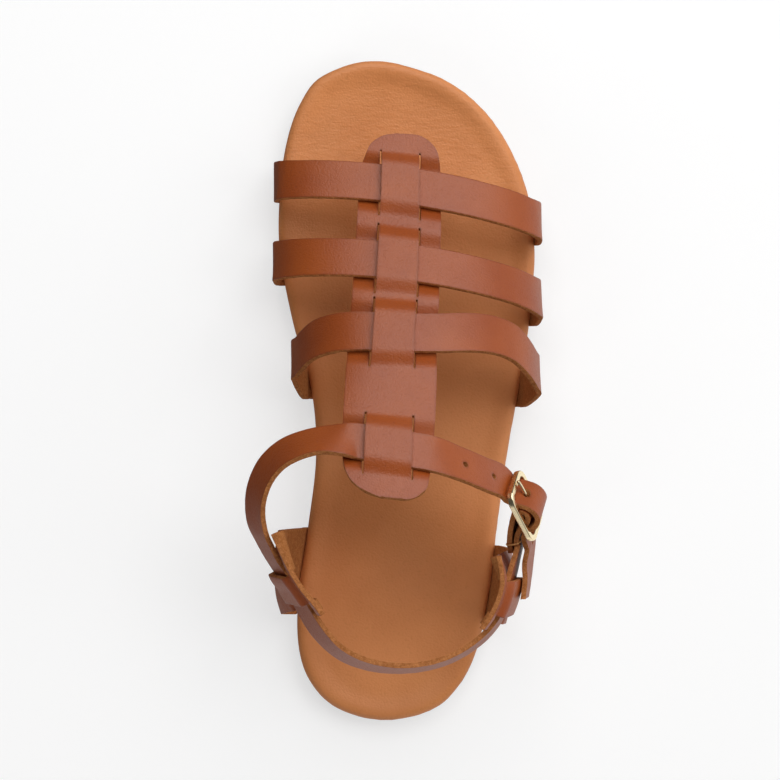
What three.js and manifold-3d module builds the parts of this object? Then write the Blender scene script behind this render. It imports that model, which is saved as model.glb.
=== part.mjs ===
// Gladiator sandal for a right foot, in millimetres.
// +Y points to the toes, +Z up, +X to the outer (lateral) side of the foot.
// A rubber outsole carries a leather-covered footbed. Three bands arch over the foot, with their
// ends turned in under the footbed. A slotted centre strip is woven through the bands and the ankle
// strap, and the ankle strap is woven through two slotted quarters beside the heel.
import * as THREE from "three";
import { mergeVertices } from "three/addons/utils/BufferGeometryUtils.js";
import Module from "manifold-3d";

const wasm = await Module();
wasm.setup();

// Driving dimensions.
const leather = 1.8; // thickness of the leather of the upper
const gap = 0.3; // between two pieces that touch
const weave = leather + gap; // from the middle of one woven layer to the middle of the next
const looseWeave = weave + 0.25; // slit pieces bulge a little more over what they cross
const bandWidth = 14.6;
const strapWidth = 13;
const soleHalfLength = 121.4;
const outsoleThickness = 4;
const outsoleInset = 0.8; // outsole edge inside the footbed edge
const edgeRadius = 0.8; // rounding of the sole's lower edges
const footbedRim = 6.2; // height of the footbed rim above the footbed's underside
const rimRise = 1; // rim above the hollow of the footbed
const rimWidth = 9.5; // from the edge to the bottom of the hollow
const rimRadius = 3; // rounding of the upper edge
const toeSpring = 4.5;
const springStart = 76; // where the sole leaves the floor towards the toe
const archLift = 1.4; // underside of the waist above the floor
const archFrom = -50;
const archTo = -4;
const archMedial = -30; // the arch has its full height here
const archLateral = 20; // and ends here
const widestHeight = 22; // height at which a band stands out furthest
// Where a band or quarter turns in under the footbed: out from the sole's edge, and up.
const turnRows = [
  { out: -10, up: 0 },
  { out: -3, up: 0 },
  { out: 0.5, up: 1.2 },
  { out: 1.5, up: 4.4 },
];

// The sole's outline: the two edges at each distance from the middle of its length.
const soleRows = [
  { y: -soleHalfLength, medial: -7.5, lateral: -7.5 },
  { y: -117.6, medial: -24.2, lateral: 9.4 },
  { y: -108.5, medial: -34.6, lateral: 19.6 },
  { y: -95, medial: -39.7, lateral: 26.2 },
  { y: -75, medial: -39.9, lateral: 30.4 },
  { y: -50, medial: -36.3, lateral: 33.5 },
  { y: -24, medial: -33.4, lateral: 37.1 },
  { y: 0, medial: -35, lateral: 41.3 },
  { y: 26, medial: -42, lateral: 45.5 },
  { y: 52, medial: -46.8, lateral: 47.4 },
  { y: 74, medial: -46.7, lateral: 44.6 },
  { y: 92, medial: -44.2, lateral: 37 },
  { y: 106, medial: -39.2, lateral: 26.2 },
  { y: 116, medial: -31, lateral: 11 },
  { y: soleHalfLength, medial: -12, lateral: -12 },
];

// The last that the upper is drawn over: the height and the middle of its top line, and how far
// its cross section reaches to the medial and the lateral side of that line.
const lastRows = [
  { y: 96, height: 31, middle: -3.6, medial: 44, lateral: 51 },
  { y: 74, height: 38, middle: -3.9, medial: 43.7, lateral: 51.4 },
  { y: 46, height: 50.5, middle: -5.4, medial: 43.1, lateral: 53 },
  { y: 20, height: 63, middle: -7.4, medial: 34.6, lateral: 54.2 },
  { y: -2, height: 73, middle: -9, medial: 44, lateral: 54 },
  { y: -19, height: 81, middle: -10.2, medial: 58, lateral: 52 },
  { y: -38, height: 89.5, middle: -11, medial: 58, lateral: 52 },
];
// The centre strip along it: half its width, half the width of the tongue between the slits, and
// the slant of what crosses it there.
const stripRows = [
  { y: 96, half: 14, tongue: 7, slant: -0.05 },
  { y: 74, half: 14.6, tongue: 7.1, slant: -0.134 },
  { y: 46, half: 15, tongue: 7.4, slant: -0.119 },
  { y: 20, half: 15.2, tongue: 7.5, slant: -0.045 },
  { y: -2, half: 15.7, tongue: 8, slant: -0.05 },
  { y: -19, half: 15.4, tongue: 8.4, slant: -0.15 },
  { y: -38, half: 14.7, tongue: 8.4, slant: -0.1 },
];
const archFullness = 2.6; // squareness of a band's arch across the foot
const archRoundness = 2.1; // and upwards
// A band's two sides swing towards their ends on the sole before they reach it: the share of the
// way that they go, and the part of the arch, in degrees from its top, that they do it over.
const swingShare = 0.25;
const swingFrom = 45;
const archEnd = 84;

// The bands: y on the middle line; slant, bow and drop of the band seen from above, which grow with
// x, its square and its fourth power; how far its two sides stand out, and where its two ends meet
// the sole.
const bandRows = [
  {
    name: "band_front", y: 73.2, slant: -0.148, bow: -0.0018, drop: 0,
    medial: -47, lateral: 47.5, medialEnd: 76.8, lateralEnd: 61.3,
  },
  {
    name: "band_middle", y: 45.2, slant: -0.139, bow: -0.002, drop: 0,
    medial: -48.5, lateral: 47.6, medialEnd: 46.3, lateralEnd: 31.5,
  },
  {
    name: "band_rear", y: 20.2, slant: -0.009, bow: 0.0031, drop: -4.2e-6,
    medial: -42, lateral: 46.8, medialEnd: 4.5, lateralEnd: 1.5,
  },
];

// Slits of the centre strip, in pairs, from front to rear.
const stripFront = 92.6;
const stripRear = -36.2;
const stripSlits = [
  { front: 86, rear: 61.4 },
  { front: 58.6, rear: 33.4 },
  { front: 32.4, rear: 8 },
  { front: -8, rear: -29.4 },
];
const slitHalfOpening = 0.057; // as a share of half the tongue
const stripRamp = 5.2; // from the end of a slit to the full weave
// The rounded ends of the strip: half its width on either side, by the distance to its end.
const tabRows = [
  { y: 0, frontMedial: 1, frontLateral: 5.5, rearMedial: 2, rearLateral: 6.5 },
  { y: 0.7, frontMedial: 4.4, frontLateral: 8.2, rearMedial: 5.2, rearLateral: 8.8 },
  { y: 2, frontMedial: 7.3, frontLateral: 10.6, rearMedial: 8.9, rearLateral: 11 },
  { y: 4.5, frontMedial: 10.4, frontLateral: 12.9, rearMedial: 12.4, rearLateral: 13.3 },
  { y: 8.5, frontMedial: 12.4, frontLateral: 14.2, rearMedial: 14.6, rearLateral: 14.2 },
  { y: 13, frontMedial: 14.1, frontLateral: 14.6, rearMedial: 15.3, rearLateral: 14.8 },
];
const tabLength = 13;

// The buckle: where its middle is and the directions along, across and out of its frame.
const buckleCentre = new THREE.Vector3(39, -40.2, 58.5);
const buckleAlong = new THREE.Vector3(0.428, -0.764, -0.481).normalize();
const buckleDown = new THREE.Vector3(0.264, 0.616, -0.743)
  .addScaledVector(buckleAlong, -new THREE.Vector3(0.264, 0.616, -0.743).dot(buckleAlong))
  .normalize();
const buckleOut = new THREE.Vector3().crossVectors(buckleAlong, buckleDown);
const buckleLength = 22;
const buckleWidth = 17.8;
const buckleBar = 2; // thickness of the frame
const buckleCorner = 4.2;
const barRadius = 0.9; // centre bar
const pinRadius = 0.75;
const eyeRadius = barRadius + gap + pinRadius; // of the pin's eye round the centre bar
const pinRest = buckleBar / 2 + gap + pinRadius; // the pin's middle above the front bar
const eyeSlot = { length: 7, width: 2 * pinRadius + 1, height: 7.8 }; // in the fold of the strap

// The ankle strap's route in three tables. Rows beside the buckle are in its own frame: along it
// and out of it. The others give the middle of the strap and its lean: 0 stands on edge, 90 is
// flat. A row with no z lies on the last.
const chapeRows = [
  { along: 14.5, out: -10.4 },
  { along: 10, out: -8.9 },
  { along: 5.5, out: -6.8 },
  { along: 2, out: -4.7 },
  { along: -1, out: -2.7 },
  { along: -2.6, out: -0.5 },
  { along: -2, out: 1.5 },
  { along: 0, out: 2.35 },
  { along: 2.3, out: 1.3 },
  { along: 4.5, out: -1.8 },
  { along: 7, out: -4.4 },
  { along: 10, out: -6.2 },
  { along: 14.5, out: -7.9 },
];
const ankleRows = [
  { x: 34.7, y: -66.9, z: 50, lean: 14 },
  { x: 33.2, y: -74, z: 49.8, lean: 13 },
  { x: 29.9, y: -81.4, z: 50, lean: 13 },
  { x: 23.5, y: -88.2, z: 51.2, lean: 14 },
  { x: 13.2, y: -94.2, z: 53.3, lean: 14 },
  { x: 3.8, y: -96.8, z: 54.6, lean: 14 },
  { x: -6.3, y: -97.4, z: 55.2, lean: 15 },
  { x: -16.8, y: -95.8, z: 54.6, lean: 17 },
  { x: -25.8, y: -91.8, z: 53.2, lean: 19 },
  { x: -33, y: -84.8, z: 51.6, lean: 21.5 },
  { x: -37.8, y: -77.4, z: 50.7, lean: 21 },
  { x: -40.3, y: -72.8, z: 50.3, lean: 19.5 },
  { x: -43.1, y: -68.4, z: 50.2, lean: 17.5 },
  { x: -46.2, y: -63.8, z: 50.5, lean: 15 },
  { x: -49.4, y: -59, z: 51.4, lean: 14.5 },
  { x: -52, y: -54, z: 53, lean: 16 },
  { x: -54.5, y: -48.6, z: 55.6, lean: 19 },
  { x: -55.6, y: -41.5, z: 59.5, lean: 22 },
  { x: -54.7, y: -34, z: 64.5, lean: 25 },
  { x: -51.7, y: -27.2, z: 69, lean: 29 },
  { x: -46.3, y: -21.6, z: 73.3, lean: 33 },
  { x: -39, y: -18.2, z: 76.8, lean: 35 },
  { x: -32, y: -16.6, z: 79, lean: 38 },
  { x: -25.8, y: -16.5, z: 80.6, lean: 50 },
  { x: -20, y: -17.2, lean: 64 },
  { x: -10.2, y: -18.8, lean: 66 },
  { x: -2, y: -20.2, lean: 66 },
  { x: 5.6, y: -21.6, lean: 63 },
  { x: 15, y: -25, z: 77, lean: 50 },
  { x: 24.3, y: -28.9, z: 70.2, lean: 44 },
];
const billetRows = [
  { along: -11.5, out: -3.2 },
  { along: -8.6, out: -2.6 },
  { along: -6, out: 0.2 },
  { along: -3.2, out: 3.9 },
  { along: -0.4, out: 5.3 },
  { along: 2.4, out: 5.2 },
  { along: 5.2, out: 2.9 },
  { along: 7, out: -1 },
  { along: 9, out: -3 },
  { along: 12, out: -3.6 },
  { along: 15, out: -4.2 },
];
const tailRows = [
  { x: 41.3, y: -60.3, z: 46.5, lean: 16 },
  { x: 41, y: -67, z: 45.8, lean: 12 },
  { x: 40.2, y: -73.4, z: 45.5, lean: 11 },
];

// The quarters: rows from the front edge to the rear edge. endY is where the row leaves the sole,
// belly how far it stands out at belly height, strap and lean its x and lean behind the ankle
// strap, and top the x of its top edge.
const bellyHeight = 26;
const strapHeight = 50;
const strapHalfHeight = 6.5;
const quarterTop = 63.5;
const quarterSlit = { front: 60.5, rear: 40 }; // heights of its upper and lower end
const quarterRamp = 3;
const quarterRows = {
  quarter_lateral: [
    { y: -57.5, endY: -57, belly: 36.4, strap: 31.2, lean: 10, top: 29.4 },
    { y: -66.3, endY: -65, belly: 36.8, strap: 34.8, lean: 15, top: 30.6 },
    { y: -72.4, endY: -71, belly: 36.4, strap: 33.7, lean: 16, top: 29.3 },
    { y: -78.6, endY: -78, belly: 35.4, strap: 31.3, lean: 17.5, top: 26.4 },
    { y: -83, endY: -84.5, belly: 34.2, strap: 28.7, lean: 20, top: 23.2 },
  ],
  quarter_medial: [
    { y: -49.5, endY: -50.3, belly: -43.4, strap: -48, lean: -6, top: -49.4 },
    { y: -63.8, endY: -61.5, belly: -46.7, strap: -46.2, lean: 16, top: -42.4 },
    { y: -68.8, endY: -68.5, belly: -47.7, strap: -42.9, lean: 18, top: -39.1 },
    { y: -74, endY: -75.5, belly: -47.2, strap: -39.6, lean: 20, top: -34.9 },
    { y: -77.8, endY: -82, belly: -45.6, strap: -37.3, lean: 21.5, top: -32.1 },
  ],
};
const slitRows = { first: 1, second: 3 }; // the rows that the slits run along

const cognac = new THREE.MeshStandardMaterial({ color: 0x9a5227, roughness: 0.5 });
const tan = new THREE.MeshStandardMaterial({ color: 0xb9834f, roughness: 0.6 });
const rubber = new THREE.MeshStandardMaterial({ color: 0x1e1a18, roughness: 0.85 });
const gold = new THREE.MeshStandardMaterial({ color: 0xd9c48a, roughness: 0.25, metalness: 1 });

function vector(x, y, z) {
  return new THREE.Vector3(x, y, z);
}

function easeIn(share) {
  const s = THREE.MathUtils.clamp(share, 0, 1);
  return s * s * (3 - 2 * s);
}

// One column of a table as a smooth function of its y, by cubic curves from row to row.
function smoothColumn(rows, column) {
  const slopeAt = (i) => {
    const a = rows[Math.max(i - 1, 0)];
    const b = rows[Math.min(i + 1, rows.length - 1)];
    return (b[column] - a[column]) / (b.y - a.y);
  };
  const direction = Math.sign(rows[1].y - rows[0].y);
  return (y) => {
    let i = 0;
    while (i < rows.length - 2 && (y - rows[i + 1].y) * direction > 0) i += 1;
    const span = rows[i + 1].y - rows[i].y;
    const t = (y - rows[i].y) / span;
    return (
      rows[i][column] * (1 + 2 * t) * (1 - t) ** 2 +
      slopeAt(i) * span * t * (1 - t) ** 2 +
      rows[i + 1][column] * t * t * (3 - 2 * t) +
      slopeAt(i + 1) * span * t * t * (t - 1)
    );
  };
}

const instep = smoothColumn(lastRows, "height");
const lastMiddle = smoothColumn(lastRows, "middle");
const medialReach = smoothColumn(lastRows, "medial");
const lateralReach = smoothColumn(lastRows, "lateral");
const stripHalf = smoothColumn(stripRows, "half");
const stripTongue = smoothColumn(stripRows, "tongue");
const stripSlant = smoothColumn(stripRows, "slant");

// The sole's outline as one closed curve: up the lateral edge and back down the medial one.
const outline = new THREE.CatmullRomCurve3(
  [
    ...soleRows.map((row) => vector(row.lateral, row.y, 0)),
    ...soleRows.slice(1, -1).reverse().map((row) => vector(row.medial, row.y, 0)),
  ],
  true,
  "catmullrom",
  0.5,
);
const outlineKnots = outline.points.length;
const outlineSamples = outline.getPoints(240);

function lateralEdge(row) {
  return outline.getPoint(row / outlineKnots);
}

function medialEdge(row) {
  return outline.getPoint((outlineKnots - row) / outlineKnots);
}

// The sole edge's x at one y, found between heel tip and toe tip by halving.
function edgeAt(y, edge) {
  let low = 0;
  let high = soleRows.length - 1;
  for (let i = 0; i < 30; i += 1) {
    const middle = (low + high) / 2;
    if (edge(middle).y < y) low = middle;
    else high = middle;
  }
  return edge(low).x;
}

function distanceToEdge(x, y) {
  return Math.min(...outlineSamples.map((point) => Math.hypot(point.x - x, point.y - y)));
}

// How far the sole's layers are lifted: by the toe spring, and by the arch on the medial side.
function soleLift(x, y) {
  const spring = Math.max(0, (y - springStart) / (soleHalfLength - springStart));
  const along = THREE.MathUtils.clamp((y - archFrom) / (archTo - archFrom), 0, 1);
  const across = THREE.MathUtils.clamp((archLateral - x) / (archLateral - archMedial), 0, 1);
  return toeSpring * spring ** 2 + archLift * Math.sin(Math.PI * along) ** 2 * across;
}

// A geometry from points and triangles, turned right side out.
function solid(points, triangles) {
  const volume = triangles.reduce(
    (sum, [a, b, c]) => sum + points[a].dot(vector().crossVectors(points[b], points[c])),
    0,
  );
  const faces = volume < 0 ? triangles.map(([a, b, c]) => [a, c, b]) : triangles;
  const geometry = new THREE.BufferGeometry();
  geometry.setAttribute(
    "position",
    new THREE.Float32BufferAttribute(points.flatMap((point) => point.toArray()), 3),
  );
  geometry.setIndex(faces.flat());
  return geometry;
}

// A loft through closed sections with the same number of points, capped at both ends.
function loft(sections) {
  const count = sections[0].length;
  const triangles = [];
  for (let s = 0; s < sections.length - 1; s += 1) {
    for (let k = 0; k < count; k += 1) {
      const a = s * count + k;
      const b = s * count + ((k + 1) % count);
      triangles.push([a, b, b + count], [a, b + count, a + count]);
    }
  }
  const points = sections.flat();
  for (const [start, turn] of [[0, 1], [points.length - count, -1]]) {
    for (let k = 1; k < count - 1; k += 1) {
      const cap = [start, start + k + 1, start + k];
      triangles.push(turn > 0 ? cap : cap.reverse());
    }
  }
  return solid(points, triangles);
}

// A layer of the sole: sections across it from heel to toe. The profile lists, from the bottom
// middle round to the top middle, how far in from the edge a point is and its height.
function soleLayer(inset, profile) {
  const ends = [0.1, 0.25, 0.45, 0.7]; // closer sections round the heel and the toe
  const lastRow = soleRows.length - 1;
  const stations = [...ends];
  for (let row = 1; row <= lastRow - 1; row += 0.5) stations.push(row);
  stations.push(...ends.map((end) => lastRow - end).reverse());
  const sections = stations.map((row) => {
    const medial = medialEdge(row);
    const lateral = lateralEdge(row);
    const half = medial.distanceTo(lateral) / 2;
    const narrow = Math.min(1, half / (1.2 * rimWidth));
    const side = (edge, other) =>
      profile.map(({ inward, height }) => {
        const step = inward === Infinity ? half : (inward + inset) * narrow;
        const point = edge.clone().lerp(other, step / (2 * half));
        const z = height(distanceToEdge(point.x, point.y) - inset);
        return vector(point.x, point.y, z + soleLift(point.x, point.y));
      });
    return [...side(lateral, medial), ...side(medial, lateral).reverse().slice(1, -1)];
  });
  return loft(sections);
}

function outsole() {
  const flat = () => 0;
  const top = () => outsoleThickness;
  return soleLayer(outsoleInset, [
    { inward: Infinity, height: flat },
    { inward: 8, height: flat },
    { inward: edgeRadius, height: flat },
    { inward: 0, height: () => edgeRadius },
    { inward: 0, height: () => outsoleThickness - 0.3 },
    { inward: 0.3, height: top },
    { inward: 8, height: top },
    { inward: Infinity, height: top },
  ]);
}

// The footbed's upper face: rounded over at the edge, then down from the rim to the hollow.
function footbedTop(distance) {
  const rim = outsoleThickness + gap + footbedRim;
  const roundOver = Math.max(0, rimRadius - distance);
  const rounding = rimRadius - Math.sqrt(Math.max(0, rimRadius ** 2 - roundOver ** 2));
  const hollow = rimRise * easeIn((distance - rimRadius) / (rimWidth - rimRadius));
  return rim - rounding - hollow;
}

function footbedBlank() {
  const bottom = outsoleThickness + gap;
  return soleLayer(0, [
    { inward: Infinity, height: () => bottom },
    { inward: 8, height: () => bottom },
    { inward: edgeRadius, height: () => bottom },
    { inward: 0, height: () => bottom + edgeRadius },
    { inward: 0, height: () => bottom + footbedRim - rimRadius },
    { inward: 0.7, height: footbedTop },
    { inward: 1.8, height: footbedTop },
    { inward: 4.5, height: footbedTop },
    { inward: 7, height: footbedTop },
    { inward: rimWidth, height: footbedTop },
    { inward: Infinity, height: footbedTop },
  ]);
}

// A closed sheet of one thickness. place(u, v) is its middle surface, us and vs are the lines of
// its grid, and isCut says which cells are missing, as along a slit.
function leatherSheet(us, vs, place, thickness = leather, isCut = () => false) {
  const step = 0.02;
  const points = [];
  for (const v of vs) {
    for (const u of us) {
      const alongU = place(u + step, v).sub(place(u - step, v));
      const alongV = place(u, v + step).sub(place(u, v - step));
      const normal = alongU.cross(alongV).normalize();
      const middle = place(u, v);
      points.push(middle.clone().addScaledVector(normal, thickness / 2));
      points.push(middle.clone().addScaledVector(normal, -thickness / 2));
    }
  }
  const present = (i, j) =>
    i >= 0 && j >= 0 && i < us.length - 1 && j < vs.length - 1 && !isCut(i, j);
  const outer = (i, j) => 2 * (j * us.length + i);
  const triangles = [];
  const quad = (a, b, c, d) => triangles.push([a, b, c], [a, c, d]);
  for (let j = 0; j < vs.length - 1; j += 1) {
    for (let i = 0; i < us.length - 1; i += 1) {
      if (!present(i, j)) continue;
      const corners = [outer(i, j), outer(i + 1, j), outer(i + 1, j + 1), outer(i, j + 1)];
      const [a, b, c, d] = corners;
      quad(a, b, c, d);
      quad(a + 1, d + 1, c + 1, b + 1);
      if (!present(i, j - 1)) quad(b, a, a + 1, b + 1);
      if (!present(i + 1, j)) quad(c, b, b + 1, c + 1);
      if (!present(i, j + 1)) quad(d, c, c + 1, d + 1);
      if (!present(i - 1, j)) quad(a, d, d + 1, a + 1);
    }
  }
  const sheet = solid(points, triangles);
  return mergeVertices(sheet, 1e-4);
}

// Even steps from one value to another, both included.
function steps(from, to, count) {
  return Array.from({ length: count + 1 }, (_, i) => from + ((to - from) * i) / count);
}

// A strip along a route: rows of a middle point and the direction across the strip there.
function ribbon(rows, width, stepsPerRow, thickness = leather) {
  const route = new THREE.CatmullRomCurve3(rows.map((row) => row.point));
  const acrosses = new THREE.CatmullRomCurve3(rows.map((row) => row.across));
  const spans = rows.length - 1;
  const place = (u, v) => {
    const share = THREE.MathUtils.clamp(v / spans, 0, 1);
    const tangent = route.getTangent(share);
    const across = acrosses.getPoint(share);
    across.addScaledVector(tangent, -across.dot(tangent)).normalize();
    return route.getPoint(share).addScaledVector(across, u);
  };
  return leatherSheet([-width / 2, width / 2], steps(0, spans, spans * stepsPerRow), place, thickness);
}

// Height of the last near its middle line.
function lastHeight(x, y) {
  const aside = x - lastMiddle(y);
  const share = Math.min(1, Math.abs(aside) / (aside < 0 ? medialReach(y) : lateralReach(y)));
  const arch = (1 - share ** archFullness) ** (1 / archRoundness);
  return widestHeight + (instep(y) - widestHeight) * arch;
}

// The turned-in end of a band or quarter, from deep under the footbed to beside its rim.
function turnedEnd(edge, y, side, margin) {
  const seat = outsoleThickness + gap + leather / 2 + soleLift(edge, y);
  return turnRows.map((row, index) => {
    const deeper = index === 0 ? margin : 0;
    return vector(edge + (row.out - deeper) * side, y, seat + row.up);
  });
}

// A band over the foot. With a margin it is the larger shape that is cut out round it.
function band(row, margin = 0) {
  const middle = lastMiddle(row.y);
  const planY = (x) => row.y + row.slant * x + row.bow * x ** 2 + row.drop * x ** 4;
  const archPoint = (degrees) => {
    const angle = THREE.MathUtils.degToRad(degrees);
    const reach = degrees < 0 ? middle - row.medial : row.lateral - middle;
    const share = Math.sign(degrees) * Math.abs(Math.sin(angle)) ** (2 / archFullness);
    const x = middle + share * reach;
    const rise = Math.abs(Math.cos(angle)) ** (2 / archRoundness);
    const end = degrees < 0 ? row.medialEnd : row.lateralEnd;
    const swing = swingShare * easeIn((Math.abs(degrees) - swingFrom) / (archEnd - swingFrom));
    const y = THREE.MathUtils.lerp(planY(x), end, swing);
    return vector(x, y, widestHeight + (instep(y) - widestHeight) * rise);
  };
  const reachY = 4;
  const tilt = Math.atan((instep(row.y - reachY) - instep(row.y + reachY)) / (2 * reachY));
  const leaning = vector(0, -Math.cos(tilt), Math.sin(tilt));
  const level = vector(0, -1, 0);
  const medialEdgeX = edgeAt(row.medialEnd, medialEdge);
  const lateralEdgeX = edgeAt(row.lateralEnd, lateralEdge);
  const medialEnd = turnedEnd(medialEdgeX, row.medialEnd, -1, margin);
  const lateralEnd = turnedEnd(lateralEdgeX, row.lateralEnd, 1, margin).reverse();
  const arch = steps(-archEnd, archEnd, 14).map(archPoint);
  const rows = [
    ...medialEnd.map((point) => ({ point, across: level })),
    ...arch.map((point) => ({ point, across: leaning })),
    ...lateralEnd.map((point) => ({ point, across: level })),
  ];
  return ribbon(rows, bandWidth + 2 * margin, 2, leather + 2 * margin);
}

// Share of the full weave at a place between the two ends of a slit.
function weaveShare(place, slit, ramp) {
  const inside = Math.min(slit.front - place, place - slit.rear);
  return easeIn(inside / ramp);
}

function centreStrip() {
  const halfAt = (y, side) => {
    const end = stripFront - y < y - stripRear ? "front" : "rear";
    const inside = Math.max(0, Math.min(stripFront - y, y - stripRear));
    if (inside >= tabLength) return stripHalf(y);
    return smoothColumn(tabRows, end + (side < 0 ? "Medial" : "Lateral"))(inside);
  };
  // Columns: 1 is at a slit and 2 at the edge of the strip.
  const place = (column, y) => {
    const half = halfAt(y, column);
    const tongue = Math.min(stripTongue(y), 0.6 * half);
    const size = Math.abs(column);
    const offset = size <= 1 ? tongue * size : tongue + (half - tongue) * (size - 1);
    const x = lastMiddle(y) + Math.sign(column) * offset;
    const slanted = y + stripSlant(y) * Math.sign(column) * offset;
    const slit = stripSlits.find((row) => y < row.front && y > row.rear);
    const share = slit ? weaveShare(y, slit, stripRamp) : 0;
    const lift = (size < 1 ? looseWeave : -looseWeave) * share;
    const slope = (instep(y - 1) - instep(y + 1)) / 2;
    const normal = vector(0, slope, 1).normalize();
    return vector(x, slanted, lastHeight(x, slanted)).addScaledVector(normal, lift);
  };
  const inner = 1 - slitHalfOpening;
  const outer = 1 + slitHalfOpening;
  const columns = [-2, -outer, -inner, inner, outer, 2];
  const tabSteps = [0, 0.3, 0.9, 2, 3.6, 5.2];
  const lines = tabSteps.map((step) => stripFront - step);
  stripSlits.forEach((slit, index) => {
    const next = stripSlits[index + 1];
    const flatFront = slit.front - stripRamp;
    const flatRear = slit.rear + stripRamp;
    lines.push(...steps(slit.front, flatFront, 3));
    lines.push(...steps(flatFront, flatRear, 4).slice(1, -1));
    lines.push(...steps(flatRear, slit.rear, 3));
    if (next && slit.rear - next.front > 6) {
      lines.push(...steps(slit.rear, next.front, 3).slice(1, -1));
    }
  });
  lines.push(...tabSteps.map((step) => stripRear + step).reverse());
  const isSlit = (i, j) => {
    const middle = (lines[j] + lines[j + 1]) / 2;
    return (i === 1 || i === 3) && stripSlits.some((row) => middle < row.front && middle > row.rear);
  };
  return leatherSheet(columns, lines, place, leather, isSlit);
}

// A quarter: ribs from under the footbed up to its top edge, at any place between the table's
// rows. With a margin it is the larger shape that is cut out round it.
function quarter(name, margin = 0) {
  const rows = quarterRows[name];
  const side = name === "quarter_lateral" ? 1 : -1;
  const edge = side > 0 ? lateralEdge : medialEdge;
  const ribs = rows.map((row, index) => {
    const wider = index === 0 ? margin : index === rows.length - 1 ? -margin : 0;
    const y = row.y + wider;
    const endY = row.endY + wider;
    const inward = -side * Math.tan(THREE.MathUtils.degToRad(row.lean)) * strapHalfHeight;
    return [
      ...turnedEnd(edgeAt(endY, edge), endY, side, margin),
      vector(row.belly, THREE.MathUtils.lerp(endY, y, 0.4), bellyHeight),
      vector(row.strap - inward, y, strapHeight - strapHalfHeight),
      vector(row.strap + inward, y, strapHeight + strapHalfHeight),
      vector(row.top, y, quarterTop),
    ];
  });
  const ribCurves = ribs.map((points) => new THREE.CatmullRomCurve3(points));
  const spans = ribs[0].length - 1;
  const atShare = (curve, v) => curve.getPoint(THREE.MathUtils.clamp(v / spans, 0, 1));
  const heightOf = (v) => atShare(ribCurves[2], v).z;
  const flatPlace = (u, v) => {
    const across = new THREE.CatmullRomCurve3(ribCurves.map((curve) => atShare(curve, v)));
    return across.getPoint(THREE.MathUtils.clamp(u / (rows.length - 1), 0, 1));
  };
  const place = (u, v) => {
    const between = u > slitRows.first && u < slitRows.second;
    const share = weaveShare(heightOf(v), quarterSlit, quarterRamp);
    const lift = looseWeave * share * (between ? 1 : -1);
    if (lift === 0) return flatPlace(u, v);
    const alongU = flatPlace(u + 0.05, v).sub(flatPlace(u - 0.05, v));
    const alongV = flatPlace(u, v + 0.05).sub(flatPlace(u, v - 0.05));
    const outward = alongV.cross(alongU).multiplyScalar(side).normalize();
    return flatPlace(u, v).addScaledVector(outward, lift);
  };
  const opening = 0.06; // half a slit's opening, in rows
  const us = [0, 0.5];
  for (const slit of [slitRows.first, slitRows.second]) {
    us.push(slit - opening, slit + opening);
    if (slit === slitRows.first) us.push(1.5, 2, 2.5);
  }
  us.push(3.5, 4);
  const slitV = [quarterSlit.rear, quarterSlit.front].map((height) => {
    let low = 0;
    let high = spans;
    for (let i = 0; i < 30; i += 1) {
      const middle = (low + high) / 2;
      if (heightOf(middle) < height) low = middle;
      else high = middle;
    }
    return low;
  });
  const vs = [
    ...steps(0, 3, 7),
    ...steps(3, slitV[0], 5).slice(1),
    ...steps(slitV[0], slitV[1], 8).slice(1),
    spans,
  ];
  const isSlit = (i, j) => {
    const u = (us[i] + us[i + 1]) / 2;
    const v = (vs[j] + vs[j + 1]) / 2;
    const atSlit = Math.abs(u - slitRows.first) < opening || Math.abs(u - slitRows.second) < opening;
    return atSlit && v > slitV[0] && v < slitV[1];
  };
  return leatherSheet(us, vs, place, leather + 2 * margin, isSlit);
}

// A point in the buckle's own frame.
function atBuckle(along, out, down = 0) {
  return buckleCentre
    .clone()
    .addScaledVector(buckleAlong, along)
    .addScaledVector(buckleOut, out)
    .addScaledVector(buckleDown, down);
}

function ankleStrap() {
  const atRow = (row) => {
    if ("along" in row) return atBuckle(row.along, row.out);
    return vector(row.x, row.y, row.z ?? lastHeight(row.x, row.y));
  };
  const table = [...chapeRows, ...ankleRows, ...billetRows, ...tailRows];
  const points = table.map(atRow);
  const route = new THREE.CatmullRomCurve3(points);
  const rows = table.map((row, index) => {
    const point = points[index];
    if ("along" in row) return { point, across: buckleDown.clone().negate() };
    const tangent = route.getTangent(index / (table.length - 1));
    const inward = vector().crossVectors(tangent, vector(0, 0, 1)).normalize();
    const lean = THREE.MathUtils.degToRad(row.lean);
    const across = vector(0, 0, Math.cos(lean)).addScaledVector(inward, Math.sin(lean));
    return { point, across: across.addScaledVector(tangent, -across.dot(tangent)).normalize() };
  });
  return ribbon(rows, strapWidth, 3);
}

// Turns a shape built in the XY plane into the buckle's frame: X along, Y down, Z out.
function intoBuckle(geometry) {
  const turn = new THREE.Matrix4().makeBasis(buckleAlong, buckleDown, buckleOut);
  return geometry.applyMatrix4(turn.setPosition(buckleCentre));
}

function roundedRectangle(shape, length, width, radius) {
  const x = length / 2;
  const y = width / 2;
  shape.moveTo(x - radius, -y);
  shape.absarc(x - radius, -y + radius, radius, -Math.PI / 2, 0, false);
  shape.absarc(x - radius, y - radius, radius, 0, Math.PI / 2, false);
  shape.absarc(-x + radius, y - radius, radius, Math.PI / 2, Math.PI, false);
  shape.absarc(-x + radius, -y + radius, radius, Math.PI, Math.PI * 1.5, false);
  shape.closePath();
  return shape;
}

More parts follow.
